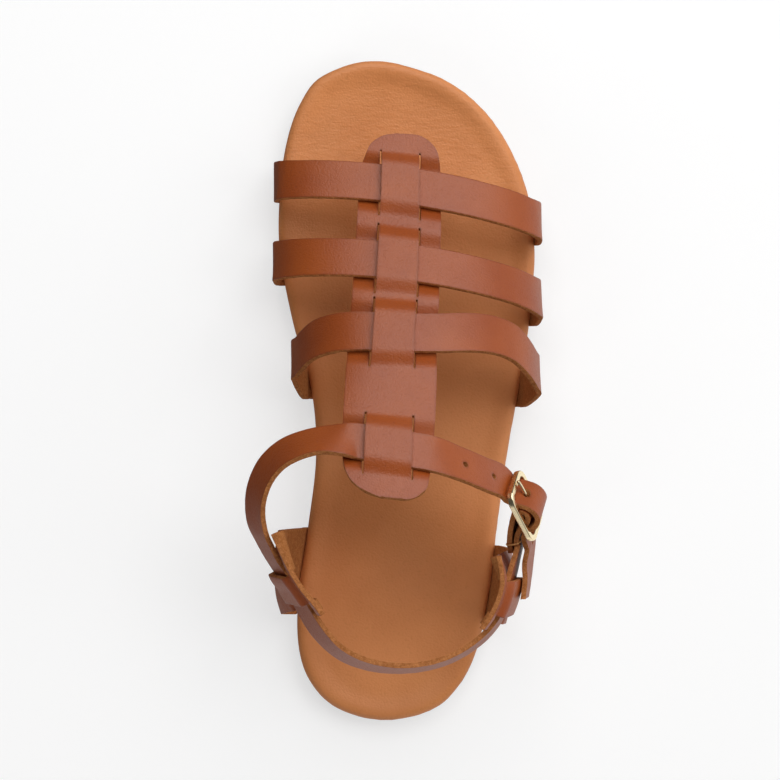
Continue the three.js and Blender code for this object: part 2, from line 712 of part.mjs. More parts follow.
function buckleRing() {
  const bevel = 0.5;
  const outside = roundedRectangle(
    new THREE.Shape(), buckleLength - 2 * bevel, buckleWidth - 2 * bevel, buckleCorner - bevel,
  );
  const inner = 2 * buckleBar - 2 * bevel;
  outside.holes.push(roundedRectangle(
    new THREE.Path(), buckleLength - inner, buckleWidth - inner, buckleCorner - buckleBar + bevel,
  ));
  const ring = new THREE.ExtrudeGeometry(outside, {
    depth: buckleBar - 2 * bevel,
    bevelThickness: bevel,
    bevelSize: bevel,
    bevelSegments: 2,
    curveSegments: 5,
  });
  return intoBuckle(ring.translate(0, 0, bevel - buckleBar / 2));
}

function centreBar() {
  return intoBuckle(new THREE.CylinderGeometry(barRadius, barRadius, buckleWidth - buckleBar, 12));
}

// The pin: an eye round the centre bar and a shank that rests on the front bar.
function pinEye(extra) {
  const eye = new THREE.TorusGeometry(eyeRadius, pinRadius + extra, 8, 20);
  return intoBuckle(eye.rotateX(Math.PI / 2));
}

function pinShank(extra) {
  const shank = new THREE.CatmullRomCurve3([
    vector(-0.6, 0, eyeRadius - 0.15),
    vector(-4, 0, pinRest + 0.1),
    vector(-8.4, 0, pinRest + 0.1),
    vector(-11.2, 0, pinRest - 0.2),
  ]);
  const section = new THREE.Shape().absarc(0, 0, pinRadius + extra, 0, Math.PI * 2, false);
  return intoBuckle(new THREE.ExtrudeGeometry(section, {
    steps: 10,
    curveSegments: 5,
    bevelEnabled: false,
    extrudePath: shank,
  }));
}

// Slot in the fold of the strap for the pin's eye.
function chapeSlot() {
  const { length, width, height } = eyeSlot;
  return intoBuckle(new THREE.BoxGeometry(length, width, height).translate(0.4, 0, 0));
}

function toManifold(geometry) {
  const bare = new THREE.BufferGeometry();
  bare.setAttribute("position", geometry.getAttribute("position"));
  bare.setIndex(geometry.getIndex());
  const merged = mergeVertices(bare, 1e-4);
  return new wasm.Manifold(new wasm.Mesh({
    numProp: 3,
    vertProperties: new Float32Array(merged.getAttribute("position").array),
    triVerts: new Uint32Array(merged.getIndex().array),
  }));
}

function toGeometry(manifold) {
  const mesh = manifold.getMesh();
  const geometry = new THREE.BufferGeometry();
  geometry.setAttribute("position", new THREE.BufferAttribute(mesh.vertProperties, 3));
  geometry.setIndex(new THREE.BufferAttribute(mesh.triVerts, 1));
  return geometry;
}

function largestBody(manifold) {
  return manifold.decompose().sort((a, b) => b.volume() - a.volume())[0];
}

// The footbed, with a pocket in its underside for each turned-in end.
function footbed() {
  const pockets = [
    ...bandRows.map((row) => band(row, gap)),
    ...Object.keys(quarterRows).map((name) => quarter(name, gap)),
  ];
  const body = pockets.reduce(
    (rest, pocket) => rest.subtract(toManifold(pocket)),
    toManifold(footbedBlank()),
  );
  return toGeometry(largestBody(body).simplify(0.01));
}

function slottedStrap() {
  return toGeometry(
    toManifold(ankleStrap())
      .subtract(toManifold(pinShank(gap)))
      .subtract(toManifold(chapeSlot())),
  );
}

function piece(name, geometry, material) {
  geometry.computeVertexNormals();
  const mesh = new THREE.Mesh(geometry, material);
  mesh.name = name;
  return mesh;
}

const sandal = new THREE.Group();
sandal.add(piece("outsole", outsole(), rubber));
sandal.add(piece("footbed", footbed(), tan));
for (const row of bandRows) {
  sandal.add(piece(row.name, band(row), cognac));
}
sandal.add(piece("centre_strip", centreStrip(), cognac));
for (const name of Object.keys(quarterRows)) {
  sandal.add(piece(name, quarter(name), cognac));
}
sandal.add(piece("ankle_strap", slottedStrap(), cognac));
sandal.add(piece(
  "buckle_frame",
  toGeometry(toManifold(buckleRing()).add(toManifold(centreBar()))),
  gold,
));
sandal.add(piece(
  "buckle_pin",
  toGeometry(toManifold(pinEye(0)).add(toManifold(pinShank(0)))),
  gold,
));

// The origin is on the floor, under the middle of the whole sandal.
const box = new THREE.Box3().setFromObject(sandal, true);
const centre = box.getCenter(vector());
sandal.position.set(-centre.x, -centre.y, -box.min.z);

export default sandal;
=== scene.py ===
import math

import bmesh
import bpy
from mathutils import Matrix, Vector, noise
from mathutils.kdtree import KDTree


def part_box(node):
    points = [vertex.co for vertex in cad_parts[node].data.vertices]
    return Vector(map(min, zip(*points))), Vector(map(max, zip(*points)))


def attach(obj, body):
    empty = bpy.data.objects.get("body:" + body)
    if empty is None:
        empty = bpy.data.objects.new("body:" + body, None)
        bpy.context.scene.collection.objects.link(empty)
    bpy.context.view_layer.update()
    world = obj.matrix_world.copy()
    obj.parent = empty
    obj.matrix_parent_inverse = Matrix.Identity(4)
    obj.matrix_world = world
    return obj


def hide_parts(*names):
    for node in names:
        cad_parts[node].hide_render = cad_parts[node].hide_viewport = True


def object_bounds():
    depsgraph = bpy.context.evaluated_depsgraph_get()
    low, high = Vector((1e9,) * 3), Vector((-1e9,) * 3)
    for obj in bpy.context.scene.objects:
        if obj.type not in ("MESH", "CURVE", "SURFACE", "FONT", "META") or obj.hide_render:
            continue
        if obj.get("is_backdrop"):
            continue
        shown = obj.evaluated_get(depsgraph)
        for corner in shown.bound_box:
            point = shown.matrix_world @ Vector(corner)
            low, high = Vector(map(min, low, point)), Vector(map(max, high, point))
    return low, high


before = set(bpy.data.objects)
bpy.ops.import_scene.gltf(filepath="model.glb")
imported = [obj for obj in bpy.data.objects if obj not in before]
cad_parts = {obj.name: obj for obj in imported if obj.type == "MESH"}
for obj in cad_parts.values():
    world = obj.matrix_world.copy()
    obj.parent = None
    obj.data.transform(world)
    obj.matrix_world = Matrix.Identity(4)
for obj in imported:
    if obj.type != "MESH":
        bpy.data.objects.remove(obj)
cad_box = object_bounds()

# ---------------------------------------------------------------------------------------------
# Outsole: one sheet of dark rubber, cut a little inside the footbed's outline and glued under it.
# It lies flat under heel and forefoot, rises a little under the arch on the big-toe side, and
# turns up at the toe. Shallow moulded grooves cross its tread.
# ---------------------------------------------------------------------------------------------
mm = 0.001
sole_rows = (  # distance along the sole, medial edge and lateral edge, in millimetres
    (-121.4, -7.5, -7.5), (-117.6, -24.2, 9.4), (-108.5, -34.6, 19.6), (-95, -39.7, 26.2),
    (-75, -39.9, 30.4), (-50, -36.3, 33.5), (-24, -33.4, 37.1), (0, -35, 41.3),
    (26, -42, 45.5), (52, -46.8, 47.4), (74, -46.7, 44.6), (92, -44.2, 37),
    (106, -39.2, 26.2), (116, -31, 11), (121.4, -12, -12),
)
sole_points = 2000  # places along the outline at which distances to it are measured
outline_steps = 280
outsole_thickness = 4 * mm
outsole_inset = 0.8 * mm
gap = 0.3 * mm
edge_radius = 0.8 * mm  # rounding of the lower edge of outsole and footbed
toe_spring = 4.5  # this and the next five are in millimetres
spring_from = 76
arch_lift = 1.4
arch_from, arch_length = -50, 46
arch_side = 20
arch_reach = 50
edge_rings = (0.15, 0.45, 0.8, 1.2, 1.7, 2.3, 3, 4, 5, 6.2, 7.6, 9.2, 11)  # millimetres inward
end_rail = 20  # half of the outline steps that stay across each end of the inner grid


def line_through(points, closed=False, even=False):
    """A smooth line through the points: a function from 0..1 to a place on it. Even spaces the
    bends by the points' count, and otherwise by the distances between them."""
    count = len(points)
    spans = count if closed else count - 1

    def point(index):
        if closed:
            return points[index % count]
        if index < 0:
            return 2 * points[0] - points[1]
        if index >= count:
            return 2 * points[-1] - points[-2]
        return points[index]

    def at(share):
        place = min(max(share, 0), 1) * spans
        index = min(int(place), spans - 1)
        t = place - index
        a, b, c, d = (point(index + k) for k in (-1, 0, 1, 2))
        if even:
            out, into = (c - a) / 2, (d - b) / 2
        else:
            ab, bc, cd = ((q - p).length ** 0.5 for p, q in ((a, b), (b, c), (c, d)))
            bc = bc if bc > 1e-4 else 1
            ab = ab if ab > 1e-4 else bc
            cd = cd if cd > 1e-4 else bc
            out = ((b - a) / ab - (c - a) / (ab + bc) + (c - b) / bc) * bc
            into = ((c - b) / bc - (d - b) / (bc + cd) + (d - c) / cd) * bc
        return (b * (1 + 2 * t) * (1 - t) ** 2 + out * t * (1 - t) ** 2
                + c * t * t * (3 - 2 * t) + into * t * t * (t - 1))

    return at


lateral_side = [Vector((lateral, y, 0)) * mm for y, medial, lateral in sole_rows]
medial_side = [Vector((medial, y, 0)) * mm for y, medial, lateral in sole_rows[1:-1]]
sole_edge = line_through(lateral_side + medial_side[::-1], closed=True, even=True)
sole_spans = len(lateral_side) + len(medial_side)
sole_line = [sole_edge(i / sole_points) for i in range(sole_points)]

# The tables measure from the last's own axis. The frame measures from the middle of the sandal.
footbed_low, footbed_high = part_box("footbed")
sole_low = min(point.x for point in sole_line)
sole_high = max(point.x for point in sole_line)
to_frame = Vector((
    (footbed_low.x + footbed_high.x - sole_low - sole_high) / 2,
    (footbed_low.y + footbed_high.y) / 2,
    0,
))
edge_tree = KDTree(len(sole_line))
for index, point in enumerate(sole_line):
    edge_tree.insert(point, index)
edge_tree.balance()


def to_sole_edge(x, y):
    return edge_tree.find(Vector((x, y, 0)))[2]


def smooth_share(value):
    value = min(max(value, 0), 1)
    return value * value * (3 - 2 * value)


def sole_lift(x, y):
    """How far toe spring and arch lift the sole's layers."""
    spring = max(0, (y / mm - spring_from) / (sole_rows[-1][0] - spring_from))
    along = min(max((y / mm - arch_from) / arch_length, 0), 1)
    across = min(max((arch_side - x / mm) / arch_reach, 0), 1)
    return (toe_spring * spring ** 2 + arch_lift * math.sin(math.pi * along) ** 2 * across) * mm


def even_outline(inset):
    """Points at even distances along the sole's edge, moved inwards by the inset."""
    lengths = [0]
    for a, b in zip(sole_line, sole_line[1:] + sole_line[:1]):
        lengths.append(lengths[-1] + (b - a).length)
    points = []
    index = 0
    for step in range(outline_steps):
        target = lengths[-1] * step / outline_steps
        while lengths[index + 1] < target:
            index += 1
        a = sole_line[index]
        b = sole_line[(index + 1) % len(sole_line)]
        along = (b - a).normalized()
        inward = Vector((-along.y, along.x, 0))
        points.append(a.lerp(b, (target - lengths[index]) / (b - a).length) + inward * inset)
    return points


def fill_inside(mesh, face):
    """Rings along the sole's edge, then an even grid inside the innermost one."""
    before = 0
    for ring in edge_rings:
        bmesh.ops.inset_individual(
            mesh, faces=[face], thickness=(ring - before) * mm, depth=0, use_even_offset=True)
        before = ring
    loops = list(face.loops)
    heel = min(range(outline_steps), key=lambda i: loops[i].vert.co.y)
    side = outline_steps // 2 - 2 * end_rail
    first = [loops[(heel + end_rail + i) % outline_steps].edge for i in range(side)]
    second = [loops[(heel + 3 * end_rail + side + i) % outline_steps].edge for i in range(side)]
    bmesh.ops.delete(mesh, geom=[face], context="FACES_ONLY")
    bmesh.ops.grid_fill(mesh, edges=first + second)


def sole_layer(inset, wall, height, tread_cuts=0):
    """A closed layer of the sole. wall lists the heights of the lines round its side, and height
    gives the upper or lower face's height from its distance to the edge. Cuts make the lower face
    fine enough for a tread."""
    mesh = bmesh.new()
    bmesh.ops.create_circle(mesh, cap_ends=True, segments=outline_steps, radius=1)
    for vert, point in zip(mesh.verts, even_outline(inset)):
        vert.co = point
    mesh.faces.ensure_lookup_table()
    bottom = mesh.faces[0]
    top = bottom
    for level in range(1, len(wall)):
        below = top
        made = bmesh.ops.extrude_face_region(mesh, geom=[below], use_keep_orig=True)
        for item in made["geom"]:
            if isinstance(item, bmesh.types.BMVert):
                item.co.z = level
            if isinstance(item, bmesh.types.BMFace) and len(item.verts) > 4:
                top = item
        if level > 1:
            bmesh.ops.delete(mesh, geom=[below], context="FACES_ONLY")
    bmesh.ops.recalc_face_normals(mesh, faces=mesh.faces)
    fill_inside(mesh, bottom)
    if tread_cuts:
        inner = {
            vert for vert in mesh.verts
            if vert.co.z == 0 and to_sole_edge(*vert.co.xy) > tread_border}
        bmesh.ops.subdivide_edges(
            mesh, edges=[edge for edge in mesh.edges if inner.issuperset(edge.verts)],
            cuts=tread_cuts, use_grid_fill=True)
    fill_inside(mesh, top)
    for vert in mesh.verts:
        level = round(vert.co.z)
        x, y = vert.co.xy
        inward = to_sole_edge(x, y) - inset
        on_wall = inward < 0.05 * mm
        vert.co.z = wall[level] if on_wall else height(level > 0, inward, x, y)
        vert.co.z += sole_lift(x, y)
    bmesh.ops.recalc_face_normals(mesh, faces=mesh.faces)
    return mesh


def finish_piece(name, mesh, materials, nodes):
    """Makes the object, in the frame's place, and hides the CAD nodes it stands for."""
    bmesh.ops.translate(mesh, verts=mesh.verts, vec=to_frame)
    data = bpy.data.meshes.new(name)
    mesh.to_mesh(data)
    mesh.free()
    for material in materials:
        data.materials.append(material)
    data.shade_smooth()
    piece = bpy.data.objects.new(name, data)
    bpy.context.collection.objects.link(piece)
    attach(piece, "root")
    if nodes:
        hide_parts(*nodes)
    return piece


def add_node(tree, kind, inputs=(), **settings):
    """Adds a shader node. An input is a value or the socket that feeds it."""
    node = tree.nodes.new(kind)
    for key, value in settings.items():
        setattr(node, key, value)
    for key, value in dict(inputs).items():
        if isinstance(value, bpy.types.NodeSocket):
            tree.links.new(value, node.inputs[key])
        else:
            node.inputs[key].default_value = value
    return node


def new_material(name, values):
    """A material whose surface shader has these values. Returns it, its tree and the shader."""
    material = bpy.data.materials.new(name)
    material.use_nodes = True
    tree = material.node_tree
    shader = tree.nodes["Principled BSDF"]
    for key, value in values.items():
        shader.inputs[key].default_value = value
    return material, tree, shader


def blend_colours(tree, share, first, second):
    mixed = add_node(tree, "ShaderNodeMix", data_type="RGBA")
    for index, value in ((0, share), (6, first), (7, second)):
        socket = mixed.inputs[index]
        if isinstance(value, bpy.types.NodeSocket):
            tree.links.new(value, socket)
        else:
            socket.default_value = value
    return mixed.outputs[2]


trim_depth = 0.25 * mm  # how far the upper edge is ground down, and over which width
trim_width = 0.4 * mm
tread_border = 5 * mm
tread_pitch = 6.5 * mm
groove_depth = 0.9 * mm
groove_half = 0.35 * mm  # half of a groove's flat bottom, and the width of its slope
groove_slope = 0.6 * mm
groove_sway = 1.5 * mm
groove_wave = 6 * mm
waist_middle = -24 * mm  # the waist under the arch has no grooves
waist_half = 26 * mm


def outsole_height(upper, inward, x, y):
    if upper:
        return outsole_thickness - trim_depth * (1 - smooth_share(inward / trim_width))
    rounding = edge_radius - inward
    edge = edge_radius - math.sqrt(max(0, edge_radius ** 2 - max(0, rounding) ** 2))
    wave = abs(((y + groove_sway * math.sin(x / groove_wave)) / tread_pitch) % 1 - 0.5) * tread_pitch
    groove = 1 - smooth_share((wave - groove_half) / groove_slope)
    border = smooth_share((inward - tread_border) / (1.2 * mm))
    waist = 1 - smooth_share((waist_half - abs(y - waist_middle)) / (2 * mm))
    return edge + groove_depth * groove * border * waist


rubber, tree, shader = new_material("outsole_rubber", {"Roughness": 0.72})
spot = add_node(tree, "ShaderNodeTexCoord").outputs["Object"]
speckle = add_node(tree, "ShaderNodeTexNoise", {"Vector": spot, "Scale": 900, "Detail": 3})
dust = add_node(tree, "ShaderNodeTexNoise", {"Vector": spot, "Scale": 60, "Detail": 4})
ramp = add_node(
    tree, "ShaderNodeMapRange", {"Value": dust.outputs[0], "From Min": 0.35, "From Max": 0.75})
tree.links.new(
    blend_colours(tree, ramp.outputs[0], (0.022, 0.015, 0.012, 1), (0.045, 0.032, 0.026, 1)),
    shader.inputs["Base Color"])
bump = add_node(
    tree, "ShaderNodeBump", {"Height": speckle.outputs[0], "Strength": 0.4, "Distance": 0.0001})
tree.links.new(bump.outputs[0], shader.inputs["Normal"])

finish_piece(
    "sole_rubber_sheet",
    sole_layer(outsole_inset, (edge_radius, outsole_thickness - trim_depth), outsole_height, tread_cuts=2),
    [rubber], ["outsole"])

# ---------------------------------------------------------------------------------------------
# Footbed: a moulded board wrapped in light tan leather, with a rounded rim that stands above the
# hollow for the foot. The leather is pulled over the rim and down to the outsole.
# ---------------------------------------------------------------------------------------------
footbed_base = outsole_thickness + gap
rim_height = 6.2 * mm
rim_rise = 1 * mm
rim_width = 9.5 * mm
rim_radius = 3 * mm
hollow_edge = 5 * mm  # inside the rim, the width over which folds and waves set in
wave_depth = 0.12 * mm
wave_length = 17 * mm
footbed_creases = (  # middle x and y, half length, turn in degrees, depth, in millimetres
    (-27, 98, 14, 4, 0.10), (-22, 94.5, 20, -2, 0.12), (-28, 91.2, 12, 5, 0.10),
    (-20, 88.6, 18, 1, 0.13),
    (-29, 86, 10, -4, 0.12), (16, 92, 12, -8, 0.08), (24, 86.5, 10, -12, 0.09), (4, 84, 14, -3, 0.08),
    (30, 8, 9, -14, 0.07), (26, 2.5, 12, -10, 0.08), (29, -4, 8, -16, 0.07), (20, -34, 12, 6, 0.06),
)
trough_half = 0.8  # the fold's cross section, in millimetres
ridge_half = 0.9
ridge_away = 1.3
ridge_share = 0.6  # the ridge's height as a share of the trough's depth


def crease(x, y, row):
    """A soft fold of the leather: a trough with a low ridge beside it."""
    middle_x, middle_y, half, turn, depth = row
    c, s = math.cos(math.radians(turn)), math.sin(math.radians(turn))
    along = ((x / mm - middle_x) * c + (y / mm - middle_y) * s) / half
    across = -(x / mm - middle_x) * s + (y / mm - middle_y) * c - 0.8 * along * along
    fade = math.exp(-2.5 * along * along)
    ridge = ridge_share * math.exp(-((across - ridge_away) / ridge_half) ** 2)
    return depth * mm * fade * (ridge - math.exp(-(across / trough_half) ** 2))


def footbed_height(upper, inward, x, y):
    if not upper:
        rounding = max(0, edge_radius - inward)
        return footbed_base + edge_radius - math.sqrt(max(0, edge_radius ** 2 - rounding ** 2))
    roll = max(0, rim_radius - inward)
    rounded = rim_radius - math.sqrt(max(0, rim_radius ** 2 - roll ** 2))
    hollow = rim_rise * smooth_share((inward - rim_radius) / (rim_width - rim_radius))
    inside = smooth_share((inward - rim_radius) / hollow_edge)
    soft = wave_depth * noise.noise(Vector((x, y, 0)) / wave_length) * inside
    folds = sum(crease(x, y, row) for row in footbed_creases) * inside
    return footbed_base + rim_height - rounded - hollow + soft + folds


wall_top = footbed_base + rim_height - rim_radius


# Shader groups that the leathers share.
def new_group(name, inputs, outputs):
    """A shader node group with named inputs (name, default) and outputs (name, kind)."""
    group = bpy.data.node_groups.new(name, "ShaderNodeTree")
    for socket, value in inputs:
        kind = "NodeSocketVector" if value is None else "NodeSocketFloat"
        made = group.interface.new_socket(socket, in_out="INPUT", socket_type=kind)
        if value is not None:
            made.default_value = value
    for socket, kind in outputs:
        group.interface.new_socket(socket, in_out="OUTPUT", socket_type=kind)
    source = group.nodes.new("NodeGroupInput")
    target = group.nodes.new("NodeGroupOutput")
    return group, source.outputs, target.inputs


def maths(tree, operation, first, second):
    return add_node(tree, "ShaderNodeMath", {0: first, 1: second}, operation=operation).outputs[0]


def in_range(tree, value, low, high, to_low=0.0, to_high=1.0):
    node = add_node(tree, "ShaderNodeMapRange", {
        "Value": value, "From Min": low, "From Max": high, "To Min": to_low, "To Max": to_high,
    })
    return node.outputs[0]


# Grain: fine pebbles of a leather's surface with pores between them. Height is 0 to 1.
grain_group, given, wanted = new_group(
    "leather_grain", [("Vector", None), ("Pebble", 1400.0), ("Wrinkle", 180.0)],
    [("Height", "NodeSocketFloat"), ("Pores", "NodeSocketFloat")])
drift = add_node(
    grain_group, "ShaderNodeTexNoise", {"Vector": given["Vector"], "Scale": 220, "Detail": 2})
pushed = add_node(
    grain_group, "ShaderNodeVectorMath", {0: drift.outputs["Color"], "Scale": 0.0012},
    operation="SCALE")
moved = add_node(
    grain_group, "ShaderNodeVectorMath", {0: given["Vector"], 1: pushed.outputs[0]},
    operation="ADD")
pebbles = add_node(
    grain_group, "ShaderNodeTexVoronoi", {"Vector": moved.outputs[0], "Scale": given["Pebble"]},
    feature="SMOOTH_F1")
folds = add_node(
    grain_group, "ShaderNodeTexNoise",
    {"Vector": given["Vector"], "Scale": given["Wrinkle"], "Detail": 5, "Roughness": 0.6})
rounded = in_range(grain_group, pebbles.outputs["Distance"], 0.15, 0.75, 1.0, 0.0)
rounded = maths(grain_group, "MULTIPLY", rounded, 0.6)
folds = maths(grain_group, "MULTIPLY", folds.outputs[0], 0.5)
grain_group.links.new(maths(grain_group, "ADD", rounded, folds), wanted["Height"])
grain_group.links.new(
    in_range(grain_group, pebbles.outputs["Distance"], 0.55, 0.85), wanted["Pores"])

# Tone: slow drift of a leather's colour over its surface, 0 to 1.
tone_group, given, wanted = new_group(
    "leather_tone", [("Vector", None), ("Patch", 28.0)], [("Tone", "NodeSocketFloat")])
large = add_node(
    tone_group, "ShaderNodeTexNoise",
    {"Vector": given["Vector"], "Scale": given["Patch"], "Detail": 3})
tone_group.links.new(in_range(tone_group, large.outputs[0], 0.3, 0.7), wanted["Tone"])

# Fibres: the open fibres of suede and of a cut edge, as light and dark specks.
fibre_group, given, wanted = new_group(
    "leather_fibres", [("Vector", None), ("Fibre", 4000.0), ("Clump", 1200.0)],
    [("Specks", "NodeSocketFloat"), ("Height", "NodeSocketFloat")])
fine = add_node(
    fibre_group, "ShaderNodeTexNoise",
    {"Vector": given["Vector"], "Scale": given["Fibre"], "Detail": 4, "Roughness": 0.7})
clumps = add_node(
    fibre_group, "ShaderNodeTexNoise",
    {"Vector": given["Vector"], "Scale": given["Clump"], "Detail": 2, "Distortion": 0.8})
specks = maths(fibre_group, "MULTIPLY", fine.outputs[0], clumps.outputs[0])
fibre_group.links.new(in_range(fibre_group, specks, 0.12, 0.42), wanted["Specks"])
fibre_group.links.new(specks, wanted["Height"])


def place_group(tree, group, **values):
    node = add_node(tree, "ShaderNodeGroup", node_tree=group)
    for key, value in values.items():
        socket = node.inputs[key]
        if isinstance(value, bpy.types.NodeSocket):
            tree.links.new(value, socket)
        else:
            socket.default_value = value
    return node.outputs


def tan_leather():
    """Light tan leather of the footbed: smooth, with fine wrinkles across the toes and shade painted darker
    into their troughs.
    """
    material, tree, shader = new_material("footbed_leather", {"Specular IOR Level": 0.42})
    spot = add_node(tree, "ShaderNodeTexCoord").outputs["Object"]
    grain = place_group(tree, grain_group, Vector=spot, Pebble=1500.0, Wrinkle=260.0)
    tone = place_group(tree, tone_group, Vector=spot, Patch=32.0)["Tone"]
    # Wrinkles lie across the sole, so they are stretched along X.
    flat = add_node(tree, "ShaderNodeMapping", {"Vector": spot, "Scale": (0.28, 1, 1)})
    wrinkles = add_node(tree, "ShaderNodeTexNoise", {
        "Vector": flat.outputs[0], "Scale": 620, "Detail": 3, "Distortion": 0.6}).outputs[0]
    places = add_node(tree, "ShaderNodeSeparateXYZ", {0: spot})
    toes = in_range(tree, places.outputs["Y"], 0.045, 0.085, 0.15, 1.0)
    wrinkled = maths(tree, "MULTIPLY", wrinkles, toes)
    colour = blend_colours(tree, tone, (0.61, 0.218, 0.068, 1), (0.70, 0.268, 0.092, 1))
    # Painted shade: the wrinkles' troughs are painted darker, where shade would fall in them.
    painted_crease_shade = maths(tree, "MULTIPLY", in_range(tree, wrinkled, 0.55, 0.3), 0.12)
    colour = blend_colours(tree, painted_crease_shade, colour, (0.40, 0.13, 0.036, 1))
    pores = maths(tree, "MULTIPLY", grain["Pores"], 0.2)
    colour = blend_colours(tree, pores, colour, (0.36, 0.13, 0.036, 1))
    tree.links.new(colour, shader.inputs["Base Color"])
    tree.links.new(in_range(tree, grain["Height"], 0.2, 0.9, 0.6, 0.46), shader.inputs["Roughness"])
    first = add_node(tree, "ShaderNodeBump", {
        "Height": wrinkled, "Strength": 0.55, "Distance": 0.0004})
    second = add_node(tree, "ShaderNodeBump", {
        "Height": grain["Height"], "Strength": 0.6, "Distance": 0.00016, "Normal": first.outputs[0]})
    tree.links.new(second.outputs[0], shader.inputs["Normal"])
    return material


wall_middle = footbed_base + 0.5 * rim_height - 1 * mm
finish_piece(
    "footbed_wrapped",
    sole_layer(0, (footbed_base + edge_radius, wall_middle, wall_top), footbed_height),
    [tan_leather()], ["footbed"])

# ---------------------------------------------------------------------------------------------
# Bands: three strips of cognac leather, cut by hand from one hide and drawn over the foot. Their
# ends turn in under the footbed. The outside is waxed, the inside is suede and the edges are raw.
# ---------------------------------------------------------------------------------------------
leather = 1.8 * mm
leather_edge = 0.3 * mm  # softening of the cut edges
slow_wave, cut_wave = 0.07, 0.07  # unevenness of the surface and of the cut edge, in millimetres
slow_length, cut_length = 9 * mm, 1.7 * mm
widest_height = 22
last_rows = (  # y, height and middle of the last's top line, its reach to either side
    (96, 31, -3.6, 44, 51), (74, 38, -3.9, 43.7, 51.4), (46, 50.5, -5.4, 43.1, 53),
    (20, 63, -7.4, 34.6, 54.2), (-2, 73, -9, 44, 54), (-19, 81, -10.2, 58, 52), (-38, 89.5, -11, 58, 52),
)
turn_rows = ((-10, 0), (-3, 0), (0.5, 1.2), (1.5, 4.4))  # out from the sole's edge, and up
band_rows = (  # name, node, y, slant, bow, drop, medial and lateral reach, y of medial and lateral end
    ("toe_band", "band_front", 73.2, -0.148, -0.0018, 0, -47, 47.5, 76.8, 61.3),
    ("ball_band", "band_middle", 45.2, -0.139, -0.002, 0, -48.5, 47.6, 46.3, 31.5),
    ("waist_band", "band_rear", 20.2, -0.009, 0.0031, -4.2e-6, -42, 46.8, 4.5, 1.5),
)
band_width = 14.6
strap_faces = 10  # faces across a strap between its two edge strips
band_faces = 7  # faces along a band from each row of its route to the next
arch_fullness = 2.6
arch_roundness = 2.1
# A band's sides swing towards their ends on the sole before they reach it: the share of the way,
# and the part of the arch, in degrees from its top, that they do it over.
swing_share = 0.25
swing_from = 45
arch_end = 84
noise.seed_set(1)  # the hand-cut edges come out the same in every run


def table_column(rows, column):
    """One column of a table as a smooth function of the table's first one."""
    knots = [row[0] for row in rows]
    values = [row[column] for row in rows]
    turn = 1 if knots[1] > knots[0] else -1

    def slope(i):
        a, b = max(i - 1, 0), min(i + 1, len(rows) - 1)
        return (values[b] - values[a]) / (knots[b] - knots[a])

    def at(y):
        i = 0
        while i < len(rows) - 2 and (y - knots[i + 1]) * turn > 0:
            i += 1
        span = knots[i + 1] - knots[i]
        t = (y - knots[i]) / span
        return (values[i] * (1 + 2 * t) * (1 - t) ** 2 + slope(i) * span * t * (1 - t) ** 2
                + values[i + 1] * t * t * (3 - 2 * t) + slope(i + 1) * span * t * t * (t - 1))

    return at


instep, last_middle, medial_reach, lateral_reach = (table_column(last_rows, k) for k in (1, 2, 3, 4))


def last_height(x, y):
    """Height of the last near its top line, in millimetres."""
    aside = x - last_middle(y)
    share = min(1, abs(aside) / (medial_reach(y) if aside < 0 else lateral_reach(y)))
    arch = (1 - share ** arch_fullness) ** (1 / arch_roundness)
    return widest_height + (instep(y) - widest_height) * arch


def edge_at(y, side):
    """The sole edge's x at one y, in millimetres."""
    rows = len(sole_rows) - 1
    low, high = 0, rows
    for _ in range(30):
        middle = (low + high) / 2
        row = middle if side > 0 else sole_spans - middle
        place = sole_edge(row / sole_spans % 1)
        if place.y / mm < y:
            low = middle
        else:
            high = middle
    return place.x / mm


def turned_end(edge, y, side):
    seat = (outsole_thickness + gap + leather / 2 + sole_lift(edge * mm, y * mm)) / mm
    return [Vector((edge + out * side, y, seat + up)) for out, up in turn_rows]


def steps(start, end, count):
    return [start + (end - start) * i / count for i in range(count + 1)]


def ribbon(rows):
    """The middle surface of a strip along a route of (point, direction across) rows. It is a
    function of the place across, in millimetres, and of the number of rows passed."""
    route = line_through([row[0] for row in rows])
    across_line = line_through([row[1] for row in rows])
    spans = len(rows) - 1

    def place(u, v):
        share = min(max(v / spans, 0), 1)
        tangent = (route(min(1, share + 1e-4)) - route(max(0, share - 1e-4))).normalized()
        across = across_line(share)
        across = (across - tangent * across.dot(tangent)).normalized()
        return route(share) + across * u

    return place


def leather_sheet(name, us, vs, place, nodes, cut=None, holes=()):
    """A sheet of leather: a flat grid, cut while it is flat, then bent into place and given its
    thickness. Its outside, suede inside and cut edges each have their own material."""
    mesh = bmesh.new()
    bmesh.ops.create_grid(mesh, x_segments=len(us) - 1, y_segments=len(vs) - 1, size=1)
    for vert in mesh.verts:
        i = round((vert.co.x + 1) / 2 * (len(us) - 1))
        j = round((vert.co.y + 1) / 2 * (len(vs) - 1))
        vert.co = (us[i], vs[j], 0)
    if cut:
        waste = [face for face in mesh.faces if cut(*face.calc_center_median().xy)]
        bmesh.ops.delete(mesh, geom=waste, context="FACES")
    for vert in mesh.verts:
        vert.co = place(vert.co.x, vert.co.y) * mm
    punch(mesh, holes)
    wobble(mesh)
    piece = finish_piece(name, mesh, strap_materials, nodes)
    thick = piece.modifiers.new("thickness", "SOLIDIFY")
    thick.thickness = leather
    thick.offset = 0
    thick.material_offset = 1
    thick.material_offset_rim = 2
    soft = piece.modifiers.new("soft_edges", "BEVEL")
    soft.width = leather_edge
    soft.segments = 2
    soft.limit_method = "ANGLE"
    soft.angle_limit = math.radians(50)
    return piece


